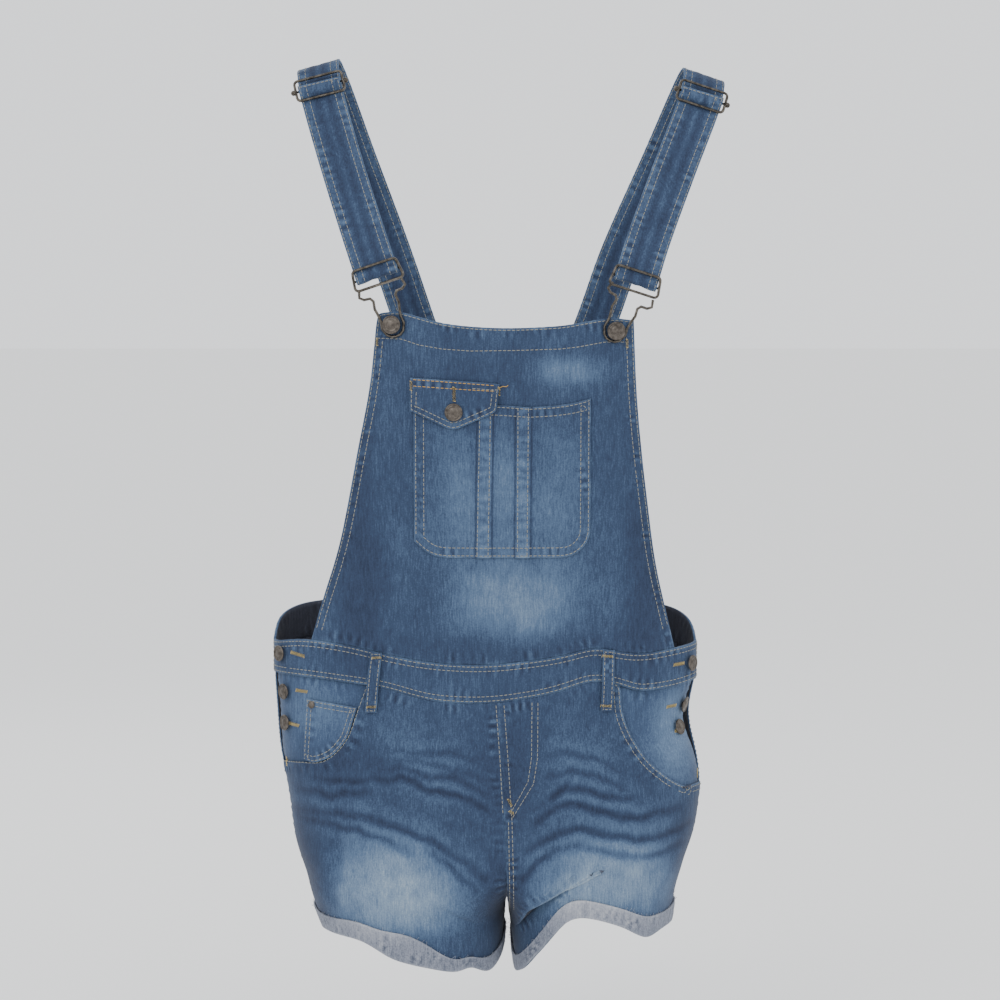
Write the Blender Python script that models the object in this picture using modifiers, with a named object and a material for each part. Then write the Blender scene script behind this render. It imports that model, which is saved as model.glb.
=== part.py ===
"""Denim shortalls, filled out as if worn, with no wearer in them.

Metres, +Z up. The front faces -Y, and "left" is the side at -X. The origin is the place
where the shoulder straps are held up. Tables and sizes are in millimetres.
"""
import bpy
import bmesh
from math import acos, cos, exp, pi, radians, sin
from mathutils import Matrix, Vector

MM = 0.001

# Cloth, seams and trim
DENIM = 1.3
BAND = 2.2
CUFF_WALL = 1.6
SEAM_GAP = 0.4
LAY_GAP = 0.35
WIRE_RADIUS = 1.3
ROUNDNESS = 0.85

# Columns of the grids that go half way round the garment
FRONT_COLUMNS = 20
BACK_COLUMNS = 16

# Waistband
BAND_HEIGHT = 31.0
LOOP_WIDTH = 10.5

# Straps
STRAP_WIDTH = 39.0
STRAP_LAYERS = 5.2
STRAP_ACROSS = {"left": (1.0, 0.0, 0.3), "right": (1.0, 0.0, -0.36)}

# Shorts, one row for each level from the waist seam (0) to the hem (1):
# level, left side x, right side x, left inner x, right inner x, front depth, back depth,
# front turn and back turn, the degrees that a half section goes round from side to seam
SHORTS = (
    (0.00, -214, 179, -4.0, -4.0, 70, 76, 90, 90),
    (0.16, -211, 169, -3.5, -3.5, 76, 90, 90, 90),
    (0.32, -209, 181, -1.5, -1.5, 85, 102, 90, 90),
    (0.40, -203, 184, 0.0, 0.0, 90, 106, 90, 90),
    (0.52, -199, 182, 1.5, 1.5, 95, 108, 90, 92),
    (0.64, -196, 177, 2.7, 2.7, 97, 107, 96, 100),
    (0.74, -189, 169, 2.8, 2.8, 97, 104, 126, 122),
    (0.80, -184, 165, 2.6, 3.0, 96, 101, 155, 152),
    (0.84, -182, 162, 2.0, 3.6, 96, 99, 180, 180),
    (0.90, -178, 159, 1.0, 6.0, 96, 97, 180, 180),
    (1.00, -169, 156, -1.0, 9.0, 95, 95, 180, 180),
)
LEFT_X, RIGHT_X, LEFT_IN, RIGHT_IN, FRONT_D, BACK_D, FRONT_TURN, BACK_TURN = range(1, 9)

# Front waistband, one row for each bend of its edges: x, top z, bottom z
WAIST = (
    (-214, -533, -561),
    (-184, -529, -562),
    (-150, -532, -565),
    (-110, -540, -570),
    (-85, -545, -577),
    (-62, -548, -582),
    (-20, -550, -584),
    (14, -547, -580),
    (38, -544, -576),
    (60, -540, -570),
    (76, -535, -564),
    (90, -535, -564),
    (106, -539, -568),
    (125, -541, -574),
    (152, -538, -572),
    (180, -534, -567),
)

# Back waistband: degrees round the back from the left side, top z
BACK_WAIST = (
    (0, -531),
    (14, -513),
    (35, -503),
    (90, -497),
    (145, -506),
    (164, -516),
    (180, -535),
)

# Hems: share of the way from side to inseam, front z, back z
HEM_LEFT = (
    (0.00, -800, -800),
    (0.15, -797, -802),
    (0.32, -798, -808),
    (0.38, -803, -806),
    (0.45, -815, -803),
    (0.57, -825, -808),
    (0.65, -829, -815),
    (0.70, -824, -813),
    (0.78, -834, -810),
    (0.90, -824, -812),
    (1.00, -814, -814),
)
HEM_RIGHT = (
    (0.00, -794, -794),
    (0.12, -792, -796),
    (0.22, -793, -803),
    (0.29, -799, -801),
    (0.42, -785, -798),
    (0.55, -776, -802),
    (0.61, -784, -808),
    (0.67, -801, -806),
    (0.75, -818, -804),
    (0.83, -833, -808),
    (0.91, -839, -813),
    (1.00, -818, -818),
)

# Largest folds of the shorts, one row each: face, start x and z, end x and z, width, depth
# (a positive depth is a trough, a negative one a ridge)
FOLDS = (
    ("front", -146, -706, -158, -786, 9, 5.0),
    ("front", -128, -712, -136, -790, 12, -3.0),
    ("front", -12, -742, -64, -716, 11, 4.0),
    ("front", -20, -772, -70, -752, 10, 3.0),
    ("front", 16, -742, 62, -712, 11, 4.0),
    ("front", 26, -776, 78, -742, 11, 3.5),
    ("front", 96, -662, 150, -678, 13, 3.0),
    ("front", -150, -668, -92, -658, 13, 3.0),
    ("back", -150, -738, -52, -750, 13, 5.0),
    ("back", 52, -750, 134, -734, 13, 5.0),
    ("back", -118, -640, -40, -664, 16, 3.0),
    ("back", 38, -668, 110, -646, 16, 3.0),
)

# Pocket mouths: level, left and right share of the way round where the scoop is
SCOOP_LEFT = ((0.0, 0.65), (0.13, 0.596), (0.20, 0.57), (0.26, 0.515), (0.31, 0.449), (0.335, 0.348),
              (0.36, 0.0))
SCOOP_RIGHT = ((0.0, 0.63), (0.12, 0.597), (0.20, 0.562), (0.28, 0.539), (0.335, 0.50), (0.38, 0.438),
               (0.41, 0.333), (0.44, 0.0))

# Bib: z of the side edges, left x, right x
BIB_SIDES = (
    (-229, -114.6, 117.0),
    (-288, -120.5, 119.5),
    (-353, -133.0, 125.4),
    (-399, -141.5, 131.2),
    (-445, -151.0, 137.3),
    (-490, -165.0, 147.0),
    (-533, -177.0, 157.0),
)
BIB_TOP = ((-115, -229), (-98, -227), (-76, -232), (-58, -237), (-31, -240.5), (1, -242), (50, -240),
           (75, -236), (97, -233), (117, -235))
BIB_TOP_EDGE = 80.0
BIB_TOP_MIDDLE = 92.0
BIB_CURVE = 2.4

# Bib pocket and flap
POCKET_LEFT = -81.5
POCKET_RIGHT = 78.0
POCKET_BOTTOM = -450.0
POCKET_CORNER = 15.0
POCKET_TOP = ((-82, -309), (-4, -311), (28, -313), (60, -310), (79, -305))
FELLED_SEAMS = ((-16.6, -18.6), (17.6, 16.4))
FELLED_WIDTH = 12.5
FELLED_RISE = 0.9
FLAP_TOP = ((-84.5, -286.5), (-4, -292))
FLAP_BOTTOM = ((-84, -316), (-46, -334), (-7, -317))

# Strap routes over the shoulder, from the buckle bar up and down to the back band: x, y, z
STRAP_ROUTES = {
    "left": ((-114, -85, -195), (-128, -68, -154), (-147.5, -45, -94), (-166, -21, -32), (-171, -10, -8),
             (-171, 3, 0), (-167, 16, -8), (-158, 30, -32), (-140, 54, -84), (-110, 76, -166),
             (-89, 84, -228), (-62, 87, -310), (-41, 84, -400), (-29, 80.5, -478), (-26, 78.6, -520)),
    "right": ((118, -85, -201), (131, -68, -161), (155, -43, -98), (178, -20, -40), (184, -10, -17),
              (184, 3, -9), (179, 16, -17), (169, 30, -40), (148, 54, -90), (112, 76, -172),
              (91, 84, -231), (60, 87, -315), (37, 84, -402), (21, 80.5, -478), (18, 78.6, -520)),
}

# Hardware, measured from the bar that the strap goes round
BUCKLE_TOP_HALF = 20.9
BUCKLE_SLAT_HALF = 22.6
BUCKLE_RISE = 17.7
STRAP_BAR_RISE = 9.6
HOOK = ((21.5, 6.5), (18.0, 9.3), (12.5, 9.8), (10.3, 13.0), (11.3, 20.0), (10.0, 26.0), (9.2, 32.0),
        (10.2, 39.0), (7.6, 45.5))
HOOK_END = 49.0
SLIDER_HALF = 22.3
SLIDER_TOP = 10.6
SLIDER_BOTTOM = 9.2
BALL_RADIUS = 2.6

# Buttons: cap radius; places on the side openings as (share round, z)
BUTTON_RADIUS = 8.2
SIDE_BUTTON_RADIUS = 7.4
SIDE_BUTTONS = {"left": (-543, -579, -609), "right": (-552, -593, -615)}
SIDE_BUTTON_SHARES = {"left": (0.20, 0.20, 0.19), "right": (0.20, 0.14, 0.20)}
BIB_BUTTONS = {"left": (-100.3, -238.8), "right": (99.7, -244.2)}
FLAP_BUTTON = (-45.0, -317.0)


def hermite(rows, column, at):
    """Read one column of a table between its rows, on a smooth curve through them."""
    if at <= rows[0][0]:
        return rows[0][column]
    if at >= rows[-1][0]:
        return rows[-1][column]
    place = next(i for i in range(len(rows) - 1) if rows[i + 1][0] >= at)
    low, high = rows[place], rows[place + 1]
    before, after = rows[max(place - 1, 0)], rows[min(place + 2, len(rows) - 1)]
    span = high[0] - low[0]
    chord = (high[column] - low[column]) / span
    start = slope_between(before, low, high, column, chord)
    end = slope_between(low, high, after, column, chord)
    t = (at - low[0]) / span
    rise = (2 * t - 3) * t * t * (low[column] - high[column]) + low[column]
    return rise + span * t * (1 - t) * ((1 - t) * start - t * end)


def slope_between(first, middle, last, column, chord):
    """Slope at a row: none where the values turn back, so that the curve never overshoots."""
    if first is middle or middle is last:
        return chord
    lower = (middle[column] - first[column]) / (middle[0] - first[0])
    upper = (last[column] - middle[column]) / (last[0] - middle[0])
    if lower * upper <= 0:
        return 0.0
    return 2 * lower * upper / (lower + upper)


def mix(first, second, share):
    return first + (second - first) * share


def signed_power(value):
    return (1 if value >= 0 else -1) * abs(value) ** ROUNDNESS


def descending(rows, column, at):
    """Read a table whose first column falls."""
    return hermite(tuple(reversed(rows)), column, at)


def waist_place(turned):
    """The x of the front waist at a number of degrees round from the left side."""
    left = turned <= 90
    side_x = SHORTS[0][LEFT_X if left else RIGHT_X]
    angle = radians(turned if left else 180 - turned)
    return mix(SHORTS[0][LEFT_IN], side_x, signed_power(cos(angle)))


WAIST_COLUMNS = 2 * FRONT_COLUMNS
WAIST_XS = [waist_place(180.0 * column / WAIST_COLUMNS) for column in range(WAIST_COLUMNS + 1)]


def waist_edge(column, x):
    """Height of the front waistband's top (1) or bottom (2) edge, straight between its columns."""
    low = max(i for i in range(len(WAIST_XS) - 1) if i == 0 or WAIST_XS[i] <= x)
    share = min(max((x - WAIST_XS[low]) / (WAIST_XS[low + 1] - WAIST_XS[low]), 0.0), 1.0)
    return mix(hermite(WAIST, column, WAIST_XS[low]), hermite(WAIST, column, WAIST_XS[low + 1]), share)


def section(side, face, share, level, gap=SEAM_GAP):
    """Plan place of the shorts and the section's centre: share runs from side seam to inner edge."""
    left = side == "left"
    side_x = hermite(SHORTS, LEFT_X if left else RIGHT_X, level)
    inner_x = hermite(SHORTS, LEFT_IN if left else RIGHT_IN, level)
    inner_x += -gap / 2 if left else gap / 2
    depth = hermite(SHORTS, FRONT_D if face == "front" else BACK_D, level)
    turn = radians(hermite(SHORTS, FRONT_TURN if face == "front" else BACK_TURN, level))
    reach = (inner_x - side_x) / (1 - signed_power(cos(turn)))
    angle = share * turn
    x = side_x + reach * (1 - signed_power(cos(angle)))
    y = gap / 2 + depth * max(sin(angle), 0.0) ** ROUNDNESS
    return x, (-y if face == "front" else y), side_x + reach


SIDE_FADE = 45.0
HEM_FADE = 0.9


def fold_depth(face, x, z):
    """How far the folds draw the cloth in at x, z: each is a soft trough that fades at its ends."""
    total = 0.0
    for fold_face, x0, z0, x1, z1, width, depth in FOLDS:
        if fold_face != face:
            continue
        span = (x1 - x0) ** 2 + (z1 - z0) ** 2
        along = ((x - x0) * (x1 - x0) + (z - z0) * (z1 - z0)) / span
        near = min(max(along, 0.0), 1.0)
        square = (x - mix(x0, x1, near)) ** 2 + (z - mix(z0, z1, near)) ** 2
        total += depth * exp(-square / width ** 2) * (0.55 + 0.45 * sin(pi * near))
    return total


def shorts_point(side, face, share, level, gap=SEAM_GAP):
    """Outer point of the shorts, with the height read between the waist seam and the hem."""
    x, y, centre = section(side, face, share, level, gap)
    if face == "front":
        start = waist_edge(2, section(side, face, share, 0.0, gap)[0]) - SEAM_GAP
    else:
        turned = share * 90 if side == "left" else 180 - share * 90
        start = hermite(BACK_WAIST, 1, turned) - BAND_HEIGHT - 2.2 * SEAM_GAP
    hem = HEM_LEFT if side == "left" else HEM_RIGHT
    end = hermite(hem, 1 if face == "front" else 2, share)
    z = mix(start, end, level)
    fade = min(abs(y) / SIDE_FADE, 1.0) * min(max((HEM_FADE - level) / 0.1, 0.0), 1.0)
    drawn = fold_depth(face, x, z) * fade
    return Vector((x, y + drawn if face == "front" else y - drawn, z))


def outward_shorts(side, face, share, level):
    """Rough outward direction, from the middle of the section."""
    x, y, centre = section(side, face, share, level)
    return Vector((x - centre, y * 1.5, 0.0))


def moved_out(surface, hint, u, v, distance):
    """The point of a surface at u, v, moved out along the surface's normal."""
    step = 0.004
    here = surface(u, v)
    low_u, high_u = max(u - step, 0.0), min(u + step, 1.0)
    low_v, high_v = max(v - step, 0.0), min(v + step, 1.0)
    normal = (surface(high_u, v) - surface(low_u, v)).cross(surface(u, high_v) - surface(u, low_v))
    normal.normalize()
    if normal.dot(hint) < 0:
        normal.negate()
    return here + normal * distance


def on_shorts(side, face, share, level, distance, gap=SEAM_GAP):
    """A point that lies off the shorts' outer face by a distance."""
    return moved_out(lambda u, v: shorts_point(side, face, u, v, gap),
                     outward_shorts(side, face, share, level), share, level, distance)


def share_at(side, x, level):
    """Share of the way round the front at which the shorts reach x."""
    left = side == "left"
    side_x = hermite(SHORTS, LEFT_X if left else RIGHT_X, level)
    inner_x = hermite(SHORTS, LEFT_IN if left else RIGHT_IN, level)
    part = min(max(1 - (x - side_x) / (inner_x - side_x), 0.0), 1.0)
    return acos(part ** (1 / ROUNDNESS)) / (pi / 2)


def band_point(face, turned, z, distance):
    """A point on the waist ring: turned runs from 0 at the left side to 180 at the right side."""
    side = "left" if turned <= 90 else "right"
    share = turned / 90 if turned <= 90 else (180 - turned) / 90
    x, y, centre = section(side, face, share, 0.0, 0.0)
    depth = SHORTS[0][FRONT_D if face == "front" else BACK_D]
    slope = Vector(((x - centre) / 198.0 ** 2, y / depth ** 2, 0.0)).normalized()
    y += -SEAM_GAP / 2 if face == "front" else SEAM_GAP / 2
    return Vector((x, y, z)) + Vector((slope.x, slope.y if abs(y) > 3 else 0.0, 0.0)) * distance


def bib_depth(x, z):
    """How far the bib stands in front of the origin at x, z."""
    top = hermite(BIB_TOP, 1, x)
    share = min(max((top - z) / (top - waist_edge(1, x)), 0.0), 1.0)
    left = descending(BIB_SIDES, 1, z)
    right = descending(BIB_SIDES, 2, z)
    across = min(abs(2 * (x - left) / (right - left) - 1), 1.2)
    high = mix(BIB_TOP_MIDDLE, BIB_TOP_EDGE, across ** BIB_CURVE)
    side = "left" if x < SHORTS[0][LEFT_IN] else "right"
    low = -section(side, "front", share_at(side, x, 0.0), 0.0)[1]
    return mix(high, low, share * share * (3 - 2 * share) * 0.5 + share * 0.5)


def on_bib(x, z, distance):
    """A point that lies off the bib's outer face by a distance."""
    step = 2.0
    tilt_x = (bib_depth(x + step, z) - bib_depth(x - step, z)) / (2 * step)
    tilt_z = (bib_depth(x, z + step) - bib_depth(x, z - step)) / (2 * step)
    normal = Vector((-tilt_x, -1.0, -tilt_z)).normalized()
    return Vector((x, -bib_depth(x, z), z)) + normal * distance


def material(name, colour, roughness, metallic=0.0):
    """A plain Principled material, made once for each name."""
    made = bpy.data.materials.get(name)
    if made is None:
        made = bpy.data.materials.new(name)
        made.use_nodes = True
        shader = made.node_tree.nodes["Principled BSDF"]
        shader.inputs["Base Color"].default_value = (*colour, 1.0)
        shader.inputs["Roughness"].default_value = roughness
        shader.inputs["Metallic"].default_value = metallic
        made.diffuse_color = (*colour, 1.0)
    return made


FINISHES = {
    "denim": ((0.055, 0.115, 0.225), 0.85, 0.0),
    "denim_light": ((0.10, 0.17, 0.28), 0.85, 0.0),
    "denim_reverse": ((0.25, 0.27, 0.31), 0.9, 0.0),
    "gunmetal": ((0.14, 0.125, 0.11), 0.42, 0.9),
    "bronze": ((0.10, 0.075, 0.06), 0.45, 0.8),
}


def place(made, name, finish):
    """Name an object and its mesh, give it its material and put it in the collection."""
    made.name = name
    made.data.name = name
    made.data.materials.clear()
    made.data.materials.append(material(f"{name}_{finish}", *FINISHES[finish]))
    for owner in list(made.users_collection):
        owner.objects.unlink(made)
    parts.objects.link(made)
    return made


def wall(name, us, vs, point, facing, thickness, finish, closed=False, offset=-1.0):
    """Cloth: a grid moved to point(u, v) and given its thickness away from the outer face."""
    mesh = bpy.data.meshes.new(name)
    shape = bmesh.new()
    bmesh.ops.create_grid(shape, x_segments=len(us) - 1, y_segments=len(vs) - 1, size=1.0)
    for vertex in shape.verts:
        column = round((vertex.co.x + 1) / 2 * (len(us) - 1))
        row = round((vertex.co.y + 1) / 2 * (len(vs) - 1))
        vertex.co = point(us[column], vs[row]) * MM
    if closed:
        bmesh.ops.remove_doubles(shape, verts=shape.verts, dist=0.00001)
    shape.normal_update()
    outward = sum(face.normal.dot(facing(face.calc_center_median() / MM)) * face.calc_area()
                  for face in shape.faces)
    if outward < 0:
        bmesh.ops.reverse_faces(shape, faces=shape.faces)
    shape.to_mesh(mesh)
    shape.free()
    mesh.shade_smooth()
    made = place(bpy.data.objects.new(name, mesh), name, finish)
    thicken = made.modifiers.new("thickness", "SOLIDIFY")
    thicken.thickness = thickness * MM
    thicken.offset = offset
    return made


def even(count, low=0.0, high=1.0):
    return [mix(low, high, step / count) for step in range(count + 1)]


def from_axis(x):
    """Facing for a tube or panel that goes round an upright axis at x."""
    return lambda centre: Vector((centre.x - x, centre.y, 0.0))


def forwards(centre):
    return Vector((0.0, -1.0, 0.0))


# The model starts here: an empty scene and one collection for the shortalls
for old in list(bpy.data.objects):
    bpy.data.objects.remove(old, do_unlink=True)
parts = bpy.data.collections.new("denim_shortalls")
bpy.context.scene.collection.children.link(parts)

SIDES = ("left", "right")
BODY_MIDDLE = (SHORTS[0][LEFT_X] + SHORTS[0][RIGHT_X]) / 2
LEG_MIDDLE = {
    "left": (SHORTS[-1][LEFT_X] + SHORTS[-1][LEFT_IN]) / 2,
    "right": (SHORTS[-1][RIGHT_X] + SHORTS[-1][RIGHT_IN]) / 2,
}
SCOOPS = {"left": SCOOP_LEFT, "right": SCOOP_RIGHT}
SCOOP_LEVELS = {
    "left": [0, 0.07, 0.13, 0.20, 0.26, 0.31, 0.335, 0.341, 0.346, 0.351, 0.355, 0.36],
    "right": [0, 0.07, 0.12, 0.20, 0.28, 0.335, 0.38, 0.41, 0.418, 0.425, 0.431, 0.436, 0.44],
}
LEG_LEVELS = [0.50, 0.58, 0.65, 0.70, 0.74, 0.77, 0.80, 0.84, 0.89, 0.94, 0.996]
BACK_LEVELS = [0, 0.15, 0.30, 0.43, 0.55, 0.63, 0.69, 0.74, 0.79, 0.84, 0.89, 0.94, 0.996]


def front_panel(side):
    """Front of one leg, with its scooped pocket mouth, round the crotch to the inseam."""
    scoop = SCOOPS[side]

    def point(u, level):
        start = hermite(scoop, 1, level) if level < scoop[-1][0] else 0.0
        return shorts_point(side, "front", mix(start, 1.0, u), level)

    levels = SCOOP_LEVELS[side] + LEG_LEVELS
    wall(f"front_{side}", even(FRONT_COLUMNS), levels, point, from_axis(LEG_MIDDLE[side]), DENIM, "denim")


def back_panel(side):
    """Back of one leg, fuller over the seat."""
    def point(u, level):
        return shorts_point(side, "back", u, level)

    wall(f"back_{side}", even(BACK_COLUMNS), BACK_LEVELS, point, from_axis(LEG_MIDDLE[side]), DENIM, "denim")


FACING_UNDER = 0.07
FACING_BEHIND = 1.5
FACING_DEPTH = 0.06


def facing(side):
    """The piece that shows inside the pocket mouth, behind the front panel."""
    scoop = SCOOPS[side]
    last = scoop[-1][0] + FACING_DEPTH

    def point(u, v):
        level = v * last
        end = hermite(scoop, 1, min(level, scoop[-1][0]))
        end = max(end + FACING_UNDER, mix(0.62, 0.35, v))
        return on_shorts(side, "front", u * end, level, -DENIM - FACING_BEHIND)

    wall(f"hip_facing_{side}", even(13), even(9), point, from_axis(BODY_MIDDLE), DENIM, "denim_light")


COIN_SHARES = (0.375, 0.335)
COIN_LEVELS = (0.085, 0.325)
COIN_MOUTH_GAP = 0.006


def coin_pocket():
    """Small pocket on the left facing: its inner edge runs under the scoop."""
    def point(u, v):
        level = mix(*COIN_LEVELS, v)
        end = hermite(SCOOP_LEFT, 1, level) - COIN_MOUTH_GAP
        return on_shorts("left", "front", mix(mix(*COIN_SHARES, v), end, u), level, 0.0)

    wall("coin_pocket", even(5), even(6), point, from_axis(BODY_MIDDLE), DENIM - 0.05, "denim_light")


BAND_OUT = 0.6


def waistbands():
    """The front band between bib and panels, and the higher back band."""
    def front(turned, v):
        x = band_point("front", turned, 0.0, 0.0).x
        return band_point("front", turned, mix(waist_edge(2, x), waist_edge(1, x), v), BAND_OUT)

    def back(turned, v):
        top = hermite(BACK_WAIST, 1, turned)
        return band_point("back", turned, mix(top - BAND_HEIGHT, top, v), BAND_OUT)

    away = from_axis(BODY_MIDDLE)
    wall("waistband_front", even(WAIST_COLUMNS, 0.0, 180.0), even(3), front, away, BAND, "denim")
    wall("waistband_back", even(2 * BACK_COLUMNS, 0.0, 180.0), even(2), back, away, BAND, "denim")


def bib():
    """The bib: narrow and nearly flat at the top, rounded to the waist at the bottom."""
    def point(u, v):
        level = mix(BIB_SIDES[0][0], BIB_SIDES[-1][0], v)
        x = mix(descending(BIB_SIDES, 1, level), descending(BIB_SIDES, 2, level), u)
        z = mix(hermite(BIB_TOP, 1, x), waist_edge(1, x) + 1.4 * SEAM_GAP, v)
        return on_bib(x, z, 0.0)

    left, right = BIB_SIDES[-1][1:]
    inner = [(x - left) / (right - left) for x in WAIST_XS if left + 4 < x < right - 4]
    wall("bib", [0.0] + inner + [1.0], even(13), point, forwards, DENIM, "denim")


def pocket_columns():
    """Places across the pocket: its corners, and both edges of each felled seam."""
    columns = [POCKET_LEFT, POCKET_LEFT + POCKET_CORNER, mix(POCKET_LEFT, FELLED_SEAMS[0][0], 0.6)]
    for top, bottom in FELLED_SEAMS:
        half = FELLED_WIDTH / 2
        columns += [top - half, top - half + 0.8, top + half - 0.8, top + half]
    columns += [mix(FELLED_SEAMS[1][0], POCKET_RIGHT, 0.45), POCKET_RIGHT - POCKET_CORNER, POCKET_RIGHT]
    return columns


def bib_pocket():
    """Patch pocket with two felled seams raised in its outer face."""
    columns = pocket_columns()

    def point(x, v):
        edge = min(x - POCKET_LEFT, POCKET_RIGHT - x)
        bottom = POCKET_BOTTOM + max(0.0, POCKET_CORNER - edge)
        rise = 0.0
        lean = 0.0
        for top_x, bottom_x in FELLED_SEAMS:
            if abs(x - top_x) < FELLED_WIDTH / 2 - 0.1:
                rise = FELLED_RISE
            if abs(x - top_x) < FELLED_WIDTH / 2 + 0.1:
                lean = (bottom_x - top_x) * v
        z = mix(hermite(POCKET_TOP, 1, x), bottom, v)
        return on_bib(x + lean, z, LAY_GAP + DENIM + rise)

    wall("bib_pocket", columns, even(8), point, forwards, DENIM, "denim")


FLAP_LIFT = ((-340, 4.6), (-318, 4.6), (-306, 4.2), (-298, 2.2), (-280, 2.0))


def pocket_flap():
    """Pointed flap: flat on the bib along its stitched top, then over the pocket."""
    def point(u, v):
        x = mix(FLAP_TOP[0][0], FLAP_TOP[1][0] - 3.0 * v, u)
        top = mix(FLAP_TOP[0][1], FLAP_TOP[1][1], u)
        left, tip, right = FLAP_BOTTOM
        if x < tip[0]:
            bottom = mix(left[1], tip[1], (x - left[0]) / (tip[0] - left[0]))
        else:
            bottom = mix(tip[1], right[1], (x - tip[0]) / (right[0] - tip[0]))
        z = mix(top, bottom, v)
        return on_bib(x, z, hermite(FLAP_LIFT, 1, z))

    wall("pocket_flap", even(8), even(6), point, forwards, DENIM + 0.2, "denim")


LOOPS = {
    "belt_loop_front_left": ("front", -116.2, -121.4, -538.0, -593.0),
    "belt_loop_front_right": ("front", 95.2, 93.6, -536.0, -591.5),
    "belt_loop_back_left": ("back", -150.0, -150.0, -501.0, -552.0),
    "belt_loop_back_right": ("back", 116.0, 116.0, -504.0, -555.0),
}
LOOP_ARCH = 1.6
LEG_FALL = 245.0


def belt_loop(name, face, top_x, bottom_x, top_z, bottom_z):
    """A strip sewn down at both ends, standing off the band between them."""
    def point(u, v):
        x = mix(top_x, bottom_x, v) + (u - 0.5) * LOOP_WIDTH
        z = mix(top_z, bottom_z, v)
        side = "left" if x < SHORTS[0][LEFT_IN] else "right"
        turned = share_at(side, x, 0.0) * 90
        turned = turned if side == "left" else 180 - turned
        foot = waist_edge(2, x) if face == "front" else hermite(BACK_WAIST, 1, turned) - BAND_HEIGHT
        level = max(0.0, (foot - z) / LEG_FALL)
        share = turned / 90 if side == "left" else 2 - turned / 90
        lean = section(side, face, share, level)[1]
        flat = section(side, face, share, 0.0)[1]
        out = BAND_OUT + LAY_GAP + DENIM + LOOP_ARCH * sin(pi * v) + 0.15
        made = band_point(face, turned, z, out)
        made.y += lean - flat
        return made

    wall(name, even(2), even(8), point, from_axis(BODY_MIDDLE), DENIM, "denim")


CUFF_OUT = 0.5
CUFF_TOPS = {
    "left": ((0.0, 22), (0.15, 15), (0.38, 19), (0.50, 27), (0.60, 13), (0.70, 9), (0.80, 13), (1.0, 12)),
    "right": ((0.0, 20), (0.20, 16), (0.30, 21), (0.45, 19), (0.60, 20), (0.75, 13), (0.90, 14), (1.0, 12)),
}


def cuff(side):
    """The turned-up hem: one ring outside the leg, with a low uneven top edge."""
    def point(around, v):
        front = around <= 1.0
        share = 1.0 - around if front else around - 1.0
        height = hermite(CUFF_TOPS[side], 1, share)
        level = 1.0 - (1.0 - v) * height / LEG_FALL
        return on_shorts(side, "front" if front else "back", share, level, CUFF_OUT + CUFF_WALL, 0.0)

    around = even(FRONT_COLUMNS) + even(BACK_COLUMNS, 1.0, 2.0)[1:]
    wall(f"cuff_{side}", around, even(2), point, from_axis(LEG_MIDDLE[side]), CUFF_WALL, "denim_reverse",
         closed=True)


for side in SIDES:
    front_panel(side)
    back_panel(side)
    facing(side)
    cuff(side)
coin_pocket()
waistbands()
bib()
bib_pocket()
pocket_flap()
for name, values in LOOPS.items():
    belt_loop(name, *values)


STRAP_STEP = 13.0
SLIDER_AT = 190.0
SLIDER_CLIMB = ((-60, 0.0), (-10.5, 0.0), (-6.2, 1.0), (-3.2, 4.5), (0.0, 6.1), (3.5, 5.7))
STRAP_BAR_RADIUS = 1.1
FRAME_PLANE = STRAP_LAYERS + BAND / 2 + 0.6 + WIRE_RADIUS


def smooth_route(points):
    """Close points on a smooth curve through the route's own points, and the length run at each."""
    knots = [Vector(point) for point in points]
    dense = []
    for index in range(len(knots) - 1):
        before = knots[max(index - 1, 0)]
        after = knots[min(index + 2, len(knots) - 1)]
        low, high = knots[index], knots[index + 1]
        for part in range(20):
            t = part / 20
            bend = (2 * before - 5 * low + 4 * high - after) * t * t
            twist = (3 * low - before - 3 * high + after) * t ** 3
            dense.append(0.5 * (2 * low + (high - before) * t + bend + twist))
    dense.append(knots[-1])
    lengths = [0.0]
    for first, second in zip(dense, dense[1:]):
        lengths.append(lengths[-1] + (second - first).length)
    return dense, lengths


class Route:
    """A strap's centre line, read by the length run from the buckle bar."""

    def __init__(self, side):
        self.across_hint = Vector(STRAP_ACROSS[side])
        self.dense, self.lengths = smooth_route(STRAP_ROUTES[side])
        self.length = self.lengths[-1]

    def at(self, run):
        run = min(max(run, 0.0), self.length)
        last = len(self.lengths) - 1
        index = next((i for i in range(1, last) if self.lengths[i] >= run), last)
        span = self.lengths[index] - self.lengths[index - 1]
        return self.dense[index - 1].lerp(self.dense[index], (run - self.lengths[index - 1]) / span)

    def frame(self, run):
        """Directions along the strap, across it, and out of its front face."""
        along = (self.at(run + 4.0) - self.at(run - 4.0)).normalized()
        across = (self.across_hint - along * self.across_hint.dot(along)).normalized()
        return along, across, across.cross(along)


routes = {side: Route(side) for side in SIDES}


def strap_line(route):
    """Centre line and directions of the whole band: front layer down, round the bar, and back up."""
    line = []
    climbs = [row[0] for row in SLIDER_CLIMB[1:]]
    fronts = even(12, 0.0, SLIDER_AT - 20.0) + [SLIDER_AT + climb for climb in climbs]
    for run in reversed(fronts):
        along, across, out = route.frame(run)
        lift = STRAP_LAYERS + hermite(SLIDER_CLIMB, 1, run - SLIDER_AT)
        line.append((route.at(run) + out * lift, across))
    along, across, out = route.frame(0.0)
    middle = route.at(0.0) + out * STRAP_LAYERS / 2
    for turn in (36, 72, 108, 144):
        angle = radians(turn)
        line.append((middle + (out * cos(angle) - along * sin(angle)) * STRAP_LAYERS / 2, across))
    count = round(route.length / STRAP_STEP)
    for run in even(count, 0.0, route.length):
        line.append((route.at(run), route.frame(run)[1]))
    return line


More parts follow.
